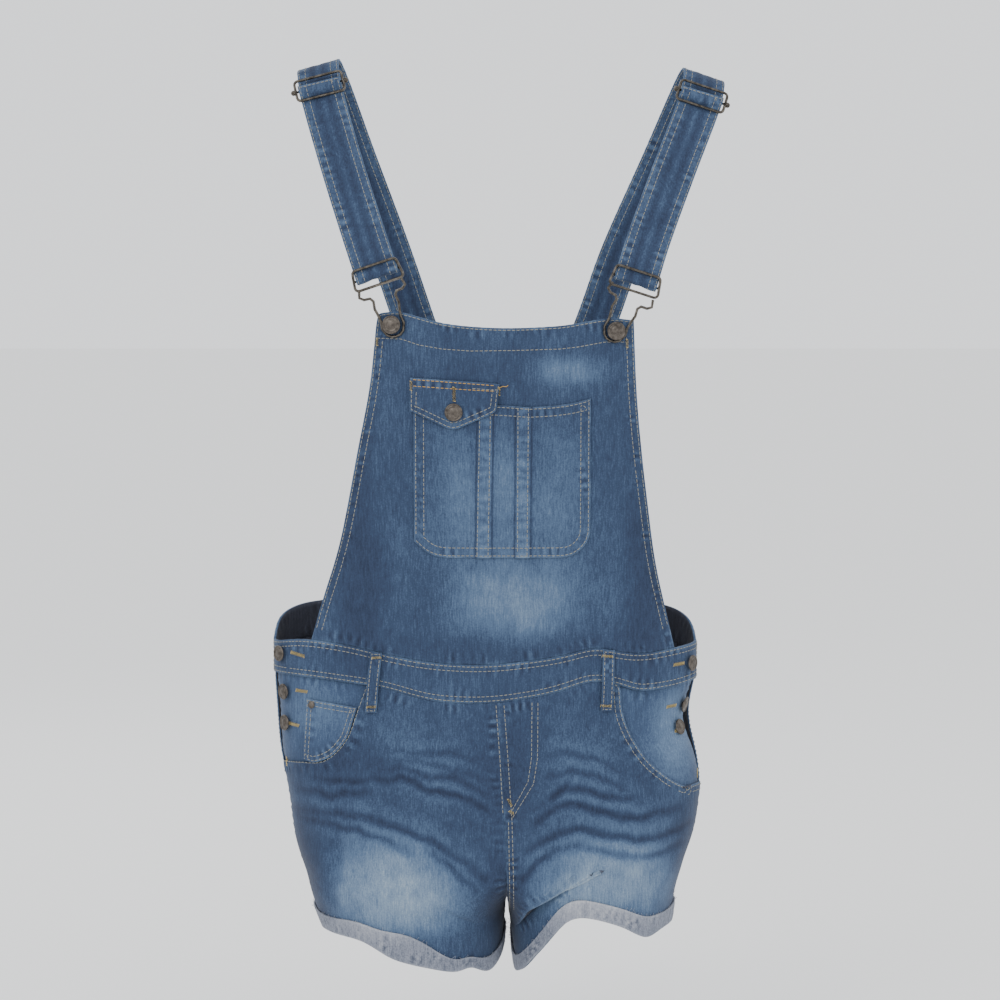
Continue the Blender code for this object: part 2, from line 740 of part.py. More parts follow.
def strap(side):
    """One continuous band of doubled denim."""
    line = strap_line(routes[side])

    def point(u, v):
        index = round(v * (len(line) - 1))
        middle, across = line[index]
        return middle + across * (u - 0.5) * STRAP_WIDTH

    wall(f"strap_{side}", even(3), even(len(line) - 1), point, forwards, BAND, "denim", offset=0.0)


def wire(name, points, radius, cyclic=False, bevel_sides=1):
    """A bent wire through points, as a closed mesh."""
    curve = bpy.data.curves.new(name, "CURVE")
    curve.dimensions = "3D"
    curve.bevel_depth = radius * MM
    curve.bevel_resolution = bevel_sides
    curve.use_fill_caps = not cyclic
    spline = curve.splines.new("POLY")
    spline.points.add(len(points) - 1)
    for target, source in zip(spline.points, points):
        target.co = (*(Vector(source) * MM), 1.0)
    spline.use_cyclic_u = cyclic
    made = bpy.data.objects.new(name, curve)
    bpy.context.scene.collection.objects.link(made)
    bpy.context.view_layer.update()
    mesh = bpy.data.meshes.new_from_object(made.evaluated_get(bpy.context.evaluated_depsgraph_get()))
    bpy.data.objects.remove(made, do_unlink=True)
    shape = bmesh.new()
    shape.from_mesh(mesh)
    bmesh.ops.remove_doubles(shape, verts=shape.verts, dist=0.00001)
    bmesh.ops.recalc_face_normals(shape, faces=shape.faces)
    shape.to_mesh(mesh)
    shape.free()
    mesh.shade_smooth()
    solid = bpy.data.objects.new(name, mesh)
    bpy.context.scene.collection.objects.link(solid)
    return solid


def ball(name, centre, radius):
    bpy.ops.mesh.primitive_uv_sphere_add(segments=8, ring_count=5, radius=radius * MM, location=centre * MM)
    made = bpy.context.object
    made.name = name
    made.data.transform(Matrix.Translation(centre * MM))
    made.location = (0, 0, 0)
    return made


def joined(name, solids, finish):
    """One closed solid from several that cross, by Boolean union."""
    base = solids[0]
    for other in solids[1:]:
        union = base.modifiers.new("join", "BOOLEAN")
        union.operation = "UNION"
        union.object = other
    bpy.context.view_layer.update()
    mesh = bpy.data.meshes.new_from_object(base.evaluated_get(bpy.context.evaluated_depsgraph_get()))
    for solid in solids:
        bpy.data.objects.remove(solid, do_unlink=True)
    return place(bpy.data.objects.new(name, mesh), name, finish)


def rounded_loop(half_low, half_high, low, high, radius, to_space):
    """Corners of a flat loop, each rounded with three points."""
    loop = []
    for corner_x, corner_y, start in ((half_high, high, 0), (-half_high, high, 90), (-half_low, low, 180),
                                      (half_low, low, 270)):
        centre_x = corner_x - radius * (1 if corner_x > 0 else -1)
        centre_y = corner_y - radius * (1 if corner_y == high else -1)
        for turn in (0, 30, 60, 90):
            angle = radians(start + turn)
            loop.append(to_space(centre_x + radius * cos(angle), centre_y + radius * sin(angle)))
    return loop


def slider(side):
    """Wire adjuster: a rounded frame with a ball-ended bar across its middle."""
    route = routes[side]
    along, across, out = route.frame(SLIDER_AT)
    centre = route.at(SLIDER_AT) + out * FRAME_PLANE

    def space(a, b):
        return centre + across * a + along * b

    frame = wire("frame", rounded_loop(SLIDER_HALF, SLIDER_HALF, -SLIDER_BOTTOM, SLIDER_TOP, 3.4, space),
                 WIRE_RADIUS, cyclic=True)
    bar_end = SLIDER_HALF + 2.2
    bar = wire("bar", [space(-bar_end, 0.0), space(0.0, 0.0), space(bar_end, 0.0)], WIRE_RADIUS * 0.9)
    balls = [ball("ball", space(bar_end * sign, 0.0), BALL_RADIUS) for sign in (-1, 1)]
    joined(f"slider_{side}", [frame, bar] + balls, "gunmetal")


HOOK_OFF = WIRE_RADIUS + 0.8
TOP_CLEAR = 4.0


def buckle_frame(side):
    """Directions and main places of a buckle, from the bar that the strap goes round."""
    route = routes[side]
    along, across, out = route.frame(0.0)
    bar = route.at(0.0) + out * STRAP_LAYERS / 2
    lean = out * (FRAME_PLANE - STRAP_LAYERS / 2)
    return along, across, bar, lean


def buckle(side):
    """Wire frame with a slat, a bar inside the strap, and a keyhole loop that hangs on the button."""
    along, across, bar, lean = buckle_frame(side)
    rise = BUCKLE_RISE - STRAP_BAR_RISE
    slat = bar - along * STRAP_BAR_RISE

    def space(a, b):
        share = (b + STRAP_BAR_RISE) / BUCKLE_RISE
        return bar + across * a + along * b + lean * share

    frame = wire("frame", rounded_loop(BUCKLE_SLAT_HALF, BUCKLE_TOP_HALF, -STRAP_BAR_RISE, rise, 3.2, space),
                 WIRE_RADIUS, cyclic=True)
    side_lean = lean * STRAP_BAR_RISE / BUCKLE_RISE
    half = BUCKLE_SLAT_HALF - 0.7
    inner_bar = wire("inner_bar", [bar + across * -half + side_lean, bar - across * (STRAP_WIDTH / 2 + 0.9),
                                   bar + across * (STRAP_WIDTH / 2 + 0.9), bar + across * half + side_lean],
                     STRAP_BAR_RADIUS)
    button_x, button_z = BIB_BUTTONS[side]
    seat = on_bib(button_x, button_z, HOOK_OFF)
    centre = bar - along * STRAP_BAR_RISE
    down = Vector((button_x - centre.x, 0.0, button_z - centre.z))
    reach = down.length
    down.normalize()
    sideways = Vector((-down.z, 0.0, down.x))
    if sideways.x < 0:
        sideways.negate()
    depth_top = centre.y
    hook = []
    for half_x, fall in HOOK:
        hook.append((half_x, fall))
    hook = [(0.87 * BUCKLE_SLAT_HALF, 0.0)] + hook + [(4.2, HOOK_END - 0.8), (0.0, HOOK_END)]
    path = []
    for half_x, fall in hook + [(-a, b) for a, b in reversed(hook[:-1])]:
        at = centre + down * fall + sideways * half_x
        at.y = mix(depth_top, seat.y, min(fall / reach, 1.0))
        if at.z < hermite(BIB_TOP, 1, at.x) + TOP_CLEAR:
            at.y = min(at.y, -bib_depth(at.x, at.z) - HOOK_OFF)
        path.append(at)
    loop = wire("loop", path, WIRE_RADIUS)
    joined(f"buckle_{side}", [frame, inner_bar, loop], "gunmetal")


BUTTON_STEPS = 12


def turned(name, profile, at, normal, finish):
    """A turned piece: its profile runs down its outer side, with a Screw round local z."""
    mesh = bpy.data.meshes.new(name)
    shape = bmesh.new()
    points = [shape.verts.new(Vector((radius, 0.0, height)) * MM) for radius, height in profile]
    for first, second in zip(points, points[1:]):
        shape.edges.new((first, second))
    shape.to_mesh(mesh)
    shape.free()
    made = place(bpy.data.objects.new(name, mesh), name, finish)
    spin = made.modifiers.new("turn", "SCREW")
    spin.steps = BUTTON_STEPS
    spin.render_steps = BUTTON_STEPS
    spin.use_merge_vertices = True
    spin.merge_threshold = 0.00001
    made.rotation_mode = "QUATERNION"
    made.rotation_quaternion = Vector((0, 0, 1)).rotation_difference(normal)
    made.location = at * MM
    return made


def button_profile(radius, shank, cap_low, cap_high, foot=0.35):
    """Cap with a raised rim and a dimpled middle, on a narrower shank."""
    return ((0.0, cap_high - 0.6), (radius * 0.68, cap_high - 0.6), (radius * 0.84, cap_high),
            (radius, cap_high - 0.8), (radius * 0.96, cap_low), (shank, cap_low), (shank, foot), (0.0, foot))


def surface_normal(at, near_a, near_b, hint):
    normal = (near_a - at).cross(near_b - at).normalized()
    return normal if normal.dot(hint) > 0 else -normal


def bib_button(name, x, z, off, cap_low, cap_high):
    at = on_bib(x, z, off)
    normal = surface_normal(at, on_bib(x + 3, z, off), on_bib(x, z + 3, off), Vector((0, -1, 0)))
    turned(name, button_profile(BUTTON_RADIUS, 3.4, cap_low, cap_high), at, normal, "bronze")


def side_button(side, number, z):
    """A button near the side seam, on the band (the first) or on the facing."""
    share = SIDE_BUTTON_SHARES[side][number]
    band_low = waist_edge(2, section(side, "front", share, 0.0)[0])
    turned_here = share * 90 if side == "left" else 180 - share * 90

    def at(share_step, rise):
        if number == 0:
            turn = turned_here + share_step * 90
            return band_point("front", turn, z + rise, BAND_OUT)
        level = (band_low - z - rise) / LEG_FALL
        return on_shorts(side, "front", share + share_step, level, -DENIM - FACING_BEHIND)

    here = at(0.0, 0.0)
    hint = Vector((here.x - BODY_MIDDLE, here.y, 0))
    normal = surface_normal(here, at(0.01, 0.0), at(0.0, 3.0), hint)
    profile = button_profile(SIDE_BUTTON_RADIUS, 3.0, 2.4, 4.8, 0.8)
    turned(f"side_button_{side}_{number + 1}", profile, here, normal, "bronze")


RIVET_AT = (0.405, 0.105)


def coin_rivet():
    share, level = RIVET_AT
    at = on_shorts("left", "front", share, level, 0.0)
    normal = surface_normal(at, on_shorts("left", "front", share + 0.01, level, 0.0),
                            on_shorts("left", "front", share, level + 0.01, 0.0), Vector((-1, -1, 0)))
    profile = ((0.0, 1.3), (1.2, 1.2), (2.6, 0.9), (3.4, 0.35), (0.0, 0.35))
    turned("coin_rivet", profile, at, normal, "bronze")


for side in SIDES:
    strap(side)
    slider(side)
    buckle(side)
    bib_button(f"bib_button_{side}", *BIB_BUTTONS[side], 0.0, 3.9, 6.6)
    for number, z in enumerate(SIDE_BUTTONS[side]):
        side_button(side, number, z)
bib_button("flap_button", *FLAP_BUTTON, 4.6, 1.4, 4.0)
coin_rivet()
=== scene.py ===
# %% [markdown]
# Denim shortalls in cells. The solids come from the imported frame, already at their real size.
# This script dresses them: every cloth solid gets a fine sheet on its own form, with creases,
# fades, painted shade and sewing, and the wire fittings and buttons get their worn metal.

# %% Load the frame
import bpy
import bmesh
import numpy as np
from math import cos, pi, radians, sin, tan
from mathutils import Matrix, Vector
from mathutils.bvhtree import BVHTree
from mathutils.kdtree import KDTree


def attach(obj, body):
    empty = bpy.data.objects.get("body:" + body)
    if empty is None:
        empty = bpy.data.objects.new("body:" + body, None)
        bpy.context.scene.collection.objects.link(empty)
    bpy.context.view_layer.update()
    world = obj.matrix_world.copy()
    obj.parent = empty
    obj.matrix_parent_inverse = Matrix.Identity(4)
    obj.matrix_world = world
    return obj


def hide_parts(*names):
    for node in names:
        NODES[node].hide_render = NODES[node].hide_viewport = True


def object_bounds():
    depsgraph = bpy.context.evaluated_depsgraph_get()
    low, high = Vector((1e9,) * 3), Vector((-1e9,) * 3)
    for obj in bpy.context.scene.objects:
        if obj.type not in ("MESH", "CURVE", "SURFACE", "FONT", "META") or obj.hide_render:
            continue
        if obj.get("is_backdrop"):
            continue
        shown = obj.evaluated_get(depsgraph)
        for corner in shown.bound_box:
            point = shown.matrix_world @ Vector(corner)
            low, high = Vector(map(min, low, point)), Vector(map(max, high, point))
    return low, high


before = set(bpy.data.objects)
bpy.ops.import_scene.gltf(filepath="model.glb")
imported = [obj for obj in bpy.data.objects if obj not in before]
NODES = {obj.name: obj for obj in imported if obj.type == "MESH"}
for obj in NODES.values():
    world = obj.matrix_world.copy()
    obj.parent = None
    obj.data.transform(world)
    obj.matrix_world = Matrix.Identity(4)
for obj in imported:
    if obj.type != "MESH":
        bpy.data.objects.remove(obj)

MM = 0.001
BODY = "root"
cad_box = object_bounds()
print("nodes:", len(NODES))

# %% [markdown]
# The camera stands three metres away and four degrees above the middle of the garment, with a
# long lens. A long lens keeps the near cloth and the far cloth at almost the same scale, which
# is how a catalogue picture of a garment is taken.

# %% Camera
IMAGE_SIDE = 1000
SENSOR = 36.0
METRES_PER_PIXEL = 0.93 * MM
CAMERA_DISTANCE = 3.0
CAMERA_RISE = 4.0
CAMERA_TARGET = Vector((-0.0037, 0.0, -0.403))

camera_data = bpy.data.cameras.new("camera")
camera_data.sensor_width = SENSOR
camera_data.lens = SENSOR * CAMERA_DISTANCE / (METRES_PER_PIXEL * IMAGE_SIDE)
camera = bpy.data.objects.new("camera", camera_data)
bpy.context.scene.collection.objects.link(camera)
rise = radians(CAMERA_RISE)
camera.location = CAMERA_TARGET + Vector((0, -cos(rise), sin(rise))) * CAMERA_DISTANCE
camera.rotation_euler = (pi / 2 - rise, 0, 0)
bpy.context.scene.camera = camera
print("lens mm:", round(camera_data.lens, 1))

# %% [markdown]
# One function turns the sRGB hex colours that a maker reads off cloth into the linear numbers
# that the shader wants. Another adds a node with its settings and links.

# %% Colour and node helpers
def linear(hex_colour):
    """An sRGB hex colour as linear red, green, blue and alpha."""
    parts = [int(hex_colour[i:i + 2], 16) / 255 for i in (1, 3, 5)]
    return (*[c / 12.92 if c <= 0.04045 else ((c + 0.055) / 1.055) ** 2.4 for c in parts], 1.0)


def add_node(tree, kind, settings=None, **links):
    """Add a node: settings are its attributes and socket values, links join its inputs."""
    node = tree.nodes.new(kind)
    for key, value in (settings or {}).items():
        if isinstance(key, int) or key in node.inputs:
            node.inputs[key].default_value = value
        else:
            setattr(node, key, value)
    for key, source in links.items():
        tree.links.new(source, node.inputs[int(key[1:]) if key[0] == "i" and key[1:].isdigit() else key])
    return node


def new_material(name):
    """An empty Principled material and its parts."""
    made = bpy.data.materials.new(name)
    made.use_nodes = True
    tree = made.node_tree
    return made, tree, tree.nodes["Principled BSDF"]


def ramp(tree, source, stops):
    """A colour ramp through hex colours."""
    node = add_node(tree, "ShaderNodeValToRGB", i0=source)
    while len(node.color_ramp.elements) < len(stops):
        node.color_ramp.elements.new(0.5)
    for element, (at, colour) in zip(node.color_ramp.elements, stops):
        element.position = at
        element.color = linear(colour)
    return node.outputs[0]


# %% [markdown]
# The stage is one wide pale floor under an even, pale sky, so that the garment can be looked at
# from every side. Big soft lights from the front leave no hard shadow on the cloth.

# %% Stage and lights
FLOOR_Z = -0.95
FLOOR_HALF = 30.0

shape = bmesh.new()
bmesh.ops.create_grid(shape, x_segments=2, y_segments=2, size=FLOOR_HALF)
bmesh.ops.translate(shape, verts=shape.verts, vec=(0, 0, FLOOR_Z))
floor_mesh = bpy.data.meshes.new("floor")
shape.to_mesh(floor_mesh)
shape.free()
floor = bpy.data.objects.new("floor", floor_mesh)
bpy.context.scene.collection.objects.link(floor)
paint, tree, shader = new_material("matt_white_paper")
shader.inputs["Base Color"].default_value = linear("#F6F6F5")
shader.inputs["Roughness"].default_value = 0.9
floor_mesh.materials.append(paint)
floor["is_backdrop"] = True


def soft_light(name, at, size, power, target=(0, 0, -0.42)):
    data = bpy.data.lights.new(name, "AREA")
    data.shape = "DISK"
    data.size = size
    data.energy = power
    lamp = bpy.data.objects.new(name, data)
    bpy.context.scene.collection.objects.link(lamp)
    lamp.location = at
    lamp.rotation_euler = (Vector(target) - Vector(at)).to_track_quat("-Z", "Y").to_euler()


soft_light("key", (-1.5, -2.2, 1.1), 1.4, 22)
soft_light("fill", (1.9, -2.0, 0.2), 1.8, 10)
soft_light("top", (0.2, 0.3, 2.0), 1.6, 6)
soft_light("back_fill", (-1.2, 1.9, 0.8), 1.6, 8)
world = bpy.data.worlds.new("studio")
bpy.context.scene.world = world
world.use_nodes = True
world.node_tree.nodes["Background"].inputs["Color"].default_value = linear("#F2F4F7")
world.node_tree.nodes["Background"].inputs["Strength"].default_value = 1.5

# %% [markdown]
# Each cloth piece in the frame is a closed solid of loose triangles. Its outer face is all that
# a fine sheet needs, so a copy is merged and walked face by face without crossing a sharp edge.
# That gives the outer face, the inner face and the narrow rims, and the outer one is kept.
# Triangles are joined to quads,
# because Subdivision Surface turns quads into an even, smooth cloth.

# %% From a solid to a fine open sheet
DENIM_WALL = 1.3 * MM
BAND_WALL = 2.2 * MM
CUFF_WALL = 1.6 * MM


def sheet_faces(node, away, other_side=False, bend=62):
    """The outer face of a cloth solid (or its inner one) as a bmesh of quads."""
    shape = bmesh.new()
    shape.from_mesh(NODES[node].data)
    bmesh.ops.remove_doubles(shape, verts=shape.verts, dist=0.05 * MM)
    islands = []
    unseen = set(shape.faces)
    while unseen:
        stack = [unseen.pop()]
        island = []
        while stack:
            face = stack.pop()
            island.append(face)
            for edge in face.edges:
                if edge.calc_face_angle(pi) > radians(bend):
                    continue
                for near in edge.link_faces:
                    if near in unseen:
                        unseen.discard(near)
                        stack.append(near)
        islands.append(island)
    islands.sort(key=lambda island: sum(face.calc_area() for face in island), reverse=True)
    pair = islands[:2]
    pair.sort(key=lambda island: sum(face.normal.dot(away(face.calc_center_median())) * face.calc_area()
                                     for face in island))
    keep = set(pair[0 if other_side else -1])
    # Slivers turned too far for the walk belong to the face whose corners they share
    corners = {vertex for face in keep for vertex in face.verts}
    for island in islands[2:]:
        if all(vertex in corners for face in island for vertex in face.verts):
            keep.update(island)
    bmesh.ops.delete(shape, geom=[face for face in shape.faces if face not in keep], context="FACES")
    bmesh.ops.dissolve_degenerate(shape, edges=shape.edges, dist=0.3 * MM)
    border = [edge for edge in shape.edges if len(edge.link_faces) == 1]
    bmesh.ops.holes_fill(shape, edges=border, sides=int(0.45 * len(border)))
    bmesh.ops.triangulate(shape, faces=[face for face in shape.faces if len(face.verts) > 4])
    bmesh.ops.recalc_face_normals(shape, faces=shape.faces)
    outward = sum(face.normal.dot(away(face.calc_center_median())) * face.calc_area() for face in shape.faces)
    if (outward < 0) != other_side:
        bmesh.ops.reverse_faces(shape, faces=shape.faces)
    bmesh.ops.join_triangles(shape, faces=shape.faces, angle_face_threshold=radians(60),
                             angle_shape_threshold=radians(180))
    return shape


def fine_mesh(name, shape, levels):
    """Subdivide a sheet smoothly and keep the result as a mesh."""
    mesh = bpy.data.meshes.new(name)
    shape.to_mesh(mesh)
    shape.free()
    coarse = bpy.data.objects.new(name, mesh)
    bpy.context.scene.collection.objects.link(coarse)
    smooth = coarse.modifiers.new("smooth", "SUBSURF")
    smooth.levels = smooth.render_levels = levels
    smooth.boundary_smooth = "PRESERVE_CORNERS"
    bpy.context.view_layer.update()
    made = bpy.data.meshes.new_from_object(coarse.evaluated_get(bpy.context.evaluated_depsgraph_get()))
    bpy.data.objects.remove(coarse, do_unlink=True)
    return made


def away_from(x):
    return lambda centre: Vector((centre.x - x, centre.y, 0.0))


def to_front(centre):
    return Vector((0.0, -1.0, 0.0))


# %% [markdown]
# The wash of a pair of jeans has sanded patches on the thighs, dark wavy whiskers where the cloth
# creased, and pale high spots along every seam. Here each one is a short row in a table, in
# millimetres seen from the front. A trough both dents the cloth and is painted darker as painted
# shade, and a ridge is painted lighter as painted highlight, so the colour follows the shading.

# %% Fades, creases and painted shade
# Soft patches: x, z, half width, half height, strength; a positive strength is wear, a negative one darkens
FRONT_PATCHES = (
    (-104, -752, 50, 44, 0.40), (-60, -768, 30, 28, 0.12), (98, -746, 60, 36, 0.36), (40, -764, 30, 22, 0.10),
    (58, -281, 34, 13, 0.20), (14, -492, 60, 36, 0.20), (0, -440, 100, 80, 0.07),
    (-46, -385, 26, 62, 0.11), (0, -385, 15, 60, 0.11), (48, -385, 24, 60, 0.09), (0, -660, 60, 40, -0.03),
    # The dark patch at (-150, -640) is painted shadow under the left hip pocket scoop
    (160, -620, 20, 50, 0.12), (-150, -640, 46, 34, -0.10), (0, -300, 60, 40, -0.03), (-70, -400, 26, 90, -0.04), (-130, -480, 26, 90, -0.10), (128, -480, 20, 100, -0.10),
    (-90, -620, 60, 24, 0.07), (70, -630, 50, 22, 0.05), (0, -640, 26, 60, -0.08), (-185, -740, 20, 60, -0.14),
    # The dark patch at (2, -760) is painted shade at the crotch, between the legs
    (170, -740, 18, 60, -0.14), (2, -760, 22, 40, -0.16), (0, -535, 120, 16, -0.06),
    (-170, -600, 26, 26, 0.10), (152, -610, 22, 34, 0.08),
)
BACK_PATCHES = (
    (-100, -650, 60, 50, 0.26), (84, -650, 56, 48, 0.26), (-110, -760, 50, 26, 0.16), (90, -756, 46, 26, 0.16),
    (0, -640, 20, 90, -0.12), (-185, -700, 20, 80, -0.10), (165, -700, 20, 80, -0.10),
)
# Whiskers: width, dent, shade, then the points it runs through (x, z); the dent is painted darker as painted shade
FRONT_WHISKERS = (
    (3.2, 0.9, -0.20, (-116, -655), (-94, -651), (-80, -655), (-66, -663), (-44, -665), (-28, -672), (-15, -681)),
    (3.0, 0.7, -0.16, (-114, -646), (-93, -642), (-66, -651), (-44, -650), (-30, -659), (-17, -665)),
    (3.2, 0.8, -0.17, (-190, -668), (-162, -670), (-122, -665)),
    (3.6, 1.0, -0.20, (-194, -686), (-150, -686), (-122, -689), (-94, -697), (-66, -708), (-36, -727), (-18, -742)),
    (3.4, 0.9, -0.17, (-190, -693), (-143, -698), (-108, -707), (-86, -721)),
    (3.0, 0.7, -0.12, (-172, -655), (-140, -657), (-118, -653)),
    (3.0, 0.6, -0.10, (-110, -625), (-80, -630), (-50, -628), (-26, -637)),
    (3.0, 0.6, -0.10, (-112, -637), (-84, -636), (-52, -642), (-20, -652)),
    (3.4, 0.8, -0.15, (-70, -716), (-48, -731), (-26, -752)),
    (3.2, 0.9, -0.18, (43, -668), (56, -661), (70, -660), (91, -668), (119, -671)),
    (3.4, 1.0, -0.19, (28, -692), (46, -677), (64, -673), (80, -679), (105, -687), (132, -688), (160, -683)),
    (3.4, 1.0, -0.19, (22, -716), (42, -703), (64, -696), (91, -701), (119, -708), (147, -706), (170, -700)),
    (3.2, 0.8, -0.15, (49, -715), (70, -712), (91, -718), (126, -724), (146, -722), (164, -716)),
    (3.0, 0.7, -0.12, (38, -650), (60, -645), (86, -650), (108, -660)),
    (3.0, 0.6, -0.10, (34, -632), (58, -628), (84, -634), (106, -646)),
    (3.0, 0.6, -0.10, (30, -678), (44, -668), (60, -652)),
    (3.2, 0.8, -0.15, (14, -745), (30, -728), (46, -716)),
)
BACK_WHISKERS = (
    (3.4, 0.9, -0.16, (-180, -716), (-140, -726), (-96, -732), (-52, -744), (-18, -752)),
    (3.2, 0.8, -0.14, (-172, -736), (-128, -742), (-84, -752), (-40, -764)),
    (3.4, 0.9, -0.16, (20, -750), (56, -740), (98, -728), (150, -716)),
    (3.2, 0.8, -0.14, (32, -764), (76, -750), (118, -742), (150, -736)),
    (3.0, 0.6, -0.10, (-170, -600), (-120, -608), (-80, -604)),
    (3.0, 0.6, -0.10, (70, -606), (112, -600), (150, -596)),
)
# Long soft creases in the bib and the panels: width, depth, shade, points; painted shade darkens a dent, painted
# highlight lightens a ridge
FRONT_CREASES = (
    (9, 1.6, -0.05, (-146, -706), (-152, -740), (-159, -784)),
    (7, -1.2, 0.10, (-140, -712), (-146, -745), (-150, -784)),
    (10, 1.0, -0.04, (-118, -300), (-126, -360), (-140, -430)),
    (12, 1.2, -0.04, (104, -290), (112, -360), (118, -440)),
    (14, 1.4, -0.03, (-60, -470), (-72, -500), (-96, -528)),
    (12, 1.0, -0.03, (64, -480), (80, -505), (112, -528)),
    (16, 1.1, -0.02, (-20, -262), (-30, -285), (-60, -300)),
    (10, 1.0, -0.04, (26, -590), (34, -620), (52, -645)),
    (10, 1.0, -0.04, (-28, -592), (-44, -615), (-84, -640)),
    (11, 1.3, -0.05, (96, -600), (108, -640), (140, -664)),
    (9, 1.0, -0.05, (-128, -610), (-112, -640), (-76, -655)),
    (8, 1.4, -0.06, (-58, -590), (-62, -606), (-74, -618)),
)
BACK_CREASES = (
    (12, 1.6, -0.05, (-60, -560), (-72, -600), (-110, -640)),
    (12, 1.6, -0.05, (50, -566), (66, -610), (104, -646)),
    (10, 1.2, -0.04, (-150, -600), (-140, -660), (-132, -710)),
    (10, 1.2, -0.04, (132, -600), (124, -660), (118, -704)),
)
# The two felled seams of the bib pocket: half width, rise, top and foot
FELLED_SEAMS = (
    (6.4, 0.5, (-16.8, -312), (-18.8, -450)),
    (6.4, 0.5, (17.6, -312), (16.8, -450)),
)
LEVEL_WEAR = 0.36
rng = np.random.default_rng(7)


def smooth_noise(points, size, count=10):
    """Sum of waves in seeded directions: a soft lumpy field from -1 to 1, size in millimetres."""
    total = np.zeros(len(points))
    for _ in range(count):
        direction = rng.normal(size=points.shape[1])
        direction *= rng.uniform(0.6, 1.5) * 2 * pi / (np.linalg.norm(direction) * size)
        total += np.sin(points @ direction + rng.uniform(0, 2 * pi))
    return total / count ** 0.5


def line_distance(flat, points):
    """Distance of many points from one bent line, and how far along it each nearest place is."""
    best = np.full(len(flat), 1e9)
    along = np.zeros(len(flat))
    run = 0.0
    for start, end in zip(points, points[1:]):
        a, b = np.array(start, float), np.array(end, float)
        span = b - a
        length = np.linalg.norm(span)
        t = np.clip(((flat - a) @ span) / length ** 2, 0, 1)
        distance = np.linalg.norm(flat - a - t[:, None] * span, axis=1)
        nearer = distance < best
        best[nearer] = distance[nearer]
        along[nearer] = run + t[nearer] * length
        run += length
    return best, along / run


def wash_and_painted_shade(points, back):
    """Dent of the cloth, and its wear with painted shade and highlight, at points (millimetres) on the front or the
    back.
    """
    flat = points[:, [0, 2]]
    wobble = np.stack([smooth_noise(flat, 26), smooth_noise(flat, 26)], axis=1)
    wear_and_shade = np.full(len(points), LEVEL_WEAR) + 0.015 * smooth_noise(flat, 60) + 0.012 * smooth_noise(flat, 14)
    dent = np.zeros(len(points))
    for x, z, half_x, half_z, strength in (BACK_PATCHES if back else FRONT_PATCHES):
        square = ((flat[:, 0] - x) / half_x) ** 2 + ((flat[:, 1] - z) / half_z) ** 2
        wear_and_shade += strength * np.exp(-square ** 1.5) * (1 + 0.08 * wobble[:, 0])
    for width, depth, shade, *line in (BACK_WHISKERS if back else FRONT_WHISKERS):
        distance, along = line_distance(flat + 0.9 * wobble, line)
        ends = np.sin(pi * np.clip(along * 0.86 + 0.07, 0, 1)) ** 0.6
        core = np.exp(-(distance / width) ** 2) * ends
        halo = np.exp(-((distance - 2.4 * width) / (1.6 * width)) ** 2) * ends
        dent += depth * core - 0.35 * depth * halo
        # Painted shade darkens the whisker's dented core; the raised border beside it is paler
        wear_and_shade += shade * core + 0.30 * abs(shade) * halo
    for width, depth, shade, *line in (BACK_CREASES if back else FRONT_CREASES):
        distance, along = line_distance(flat + 3.0 * wobble, line)
        ends = np.sin(pi * np.clip(along * 0.8 + 0.1, 0, 1))
        core = np.exp(-(distance / width) ** 2) * ends
        dent += depth * core
        # Painted shade darkens a crease's dent, and painted highlight lightens a ridge
        wear_and_shade += shade * core
    return dent, wear_and_shade


print("whiskers and creases placed:", len(FRONT_WHISKERS) + len(FRONT_CREASES) + len(BACK_WHISKERS)
      + len(BACK_CREASES))

# %% [markdown]
# Denim is woven with blue warp yarns that run down the garment and pale weft yarns under them.
# From a few metres it shows as fine upright streaks of uneven yarn, with a faint diagonal twill
# between them. The real twill line is 0.8 mm apart, finer than a pixel, so it is drawn coarser,
# 1.3 mm across. One attribute per vertex picks the blue from dark indigo to nearly bare: it
# carries the wear of the wash, and the painted shade and painted highlight of the creases.

# %% Cloth materials
PER_MM = 1000.0


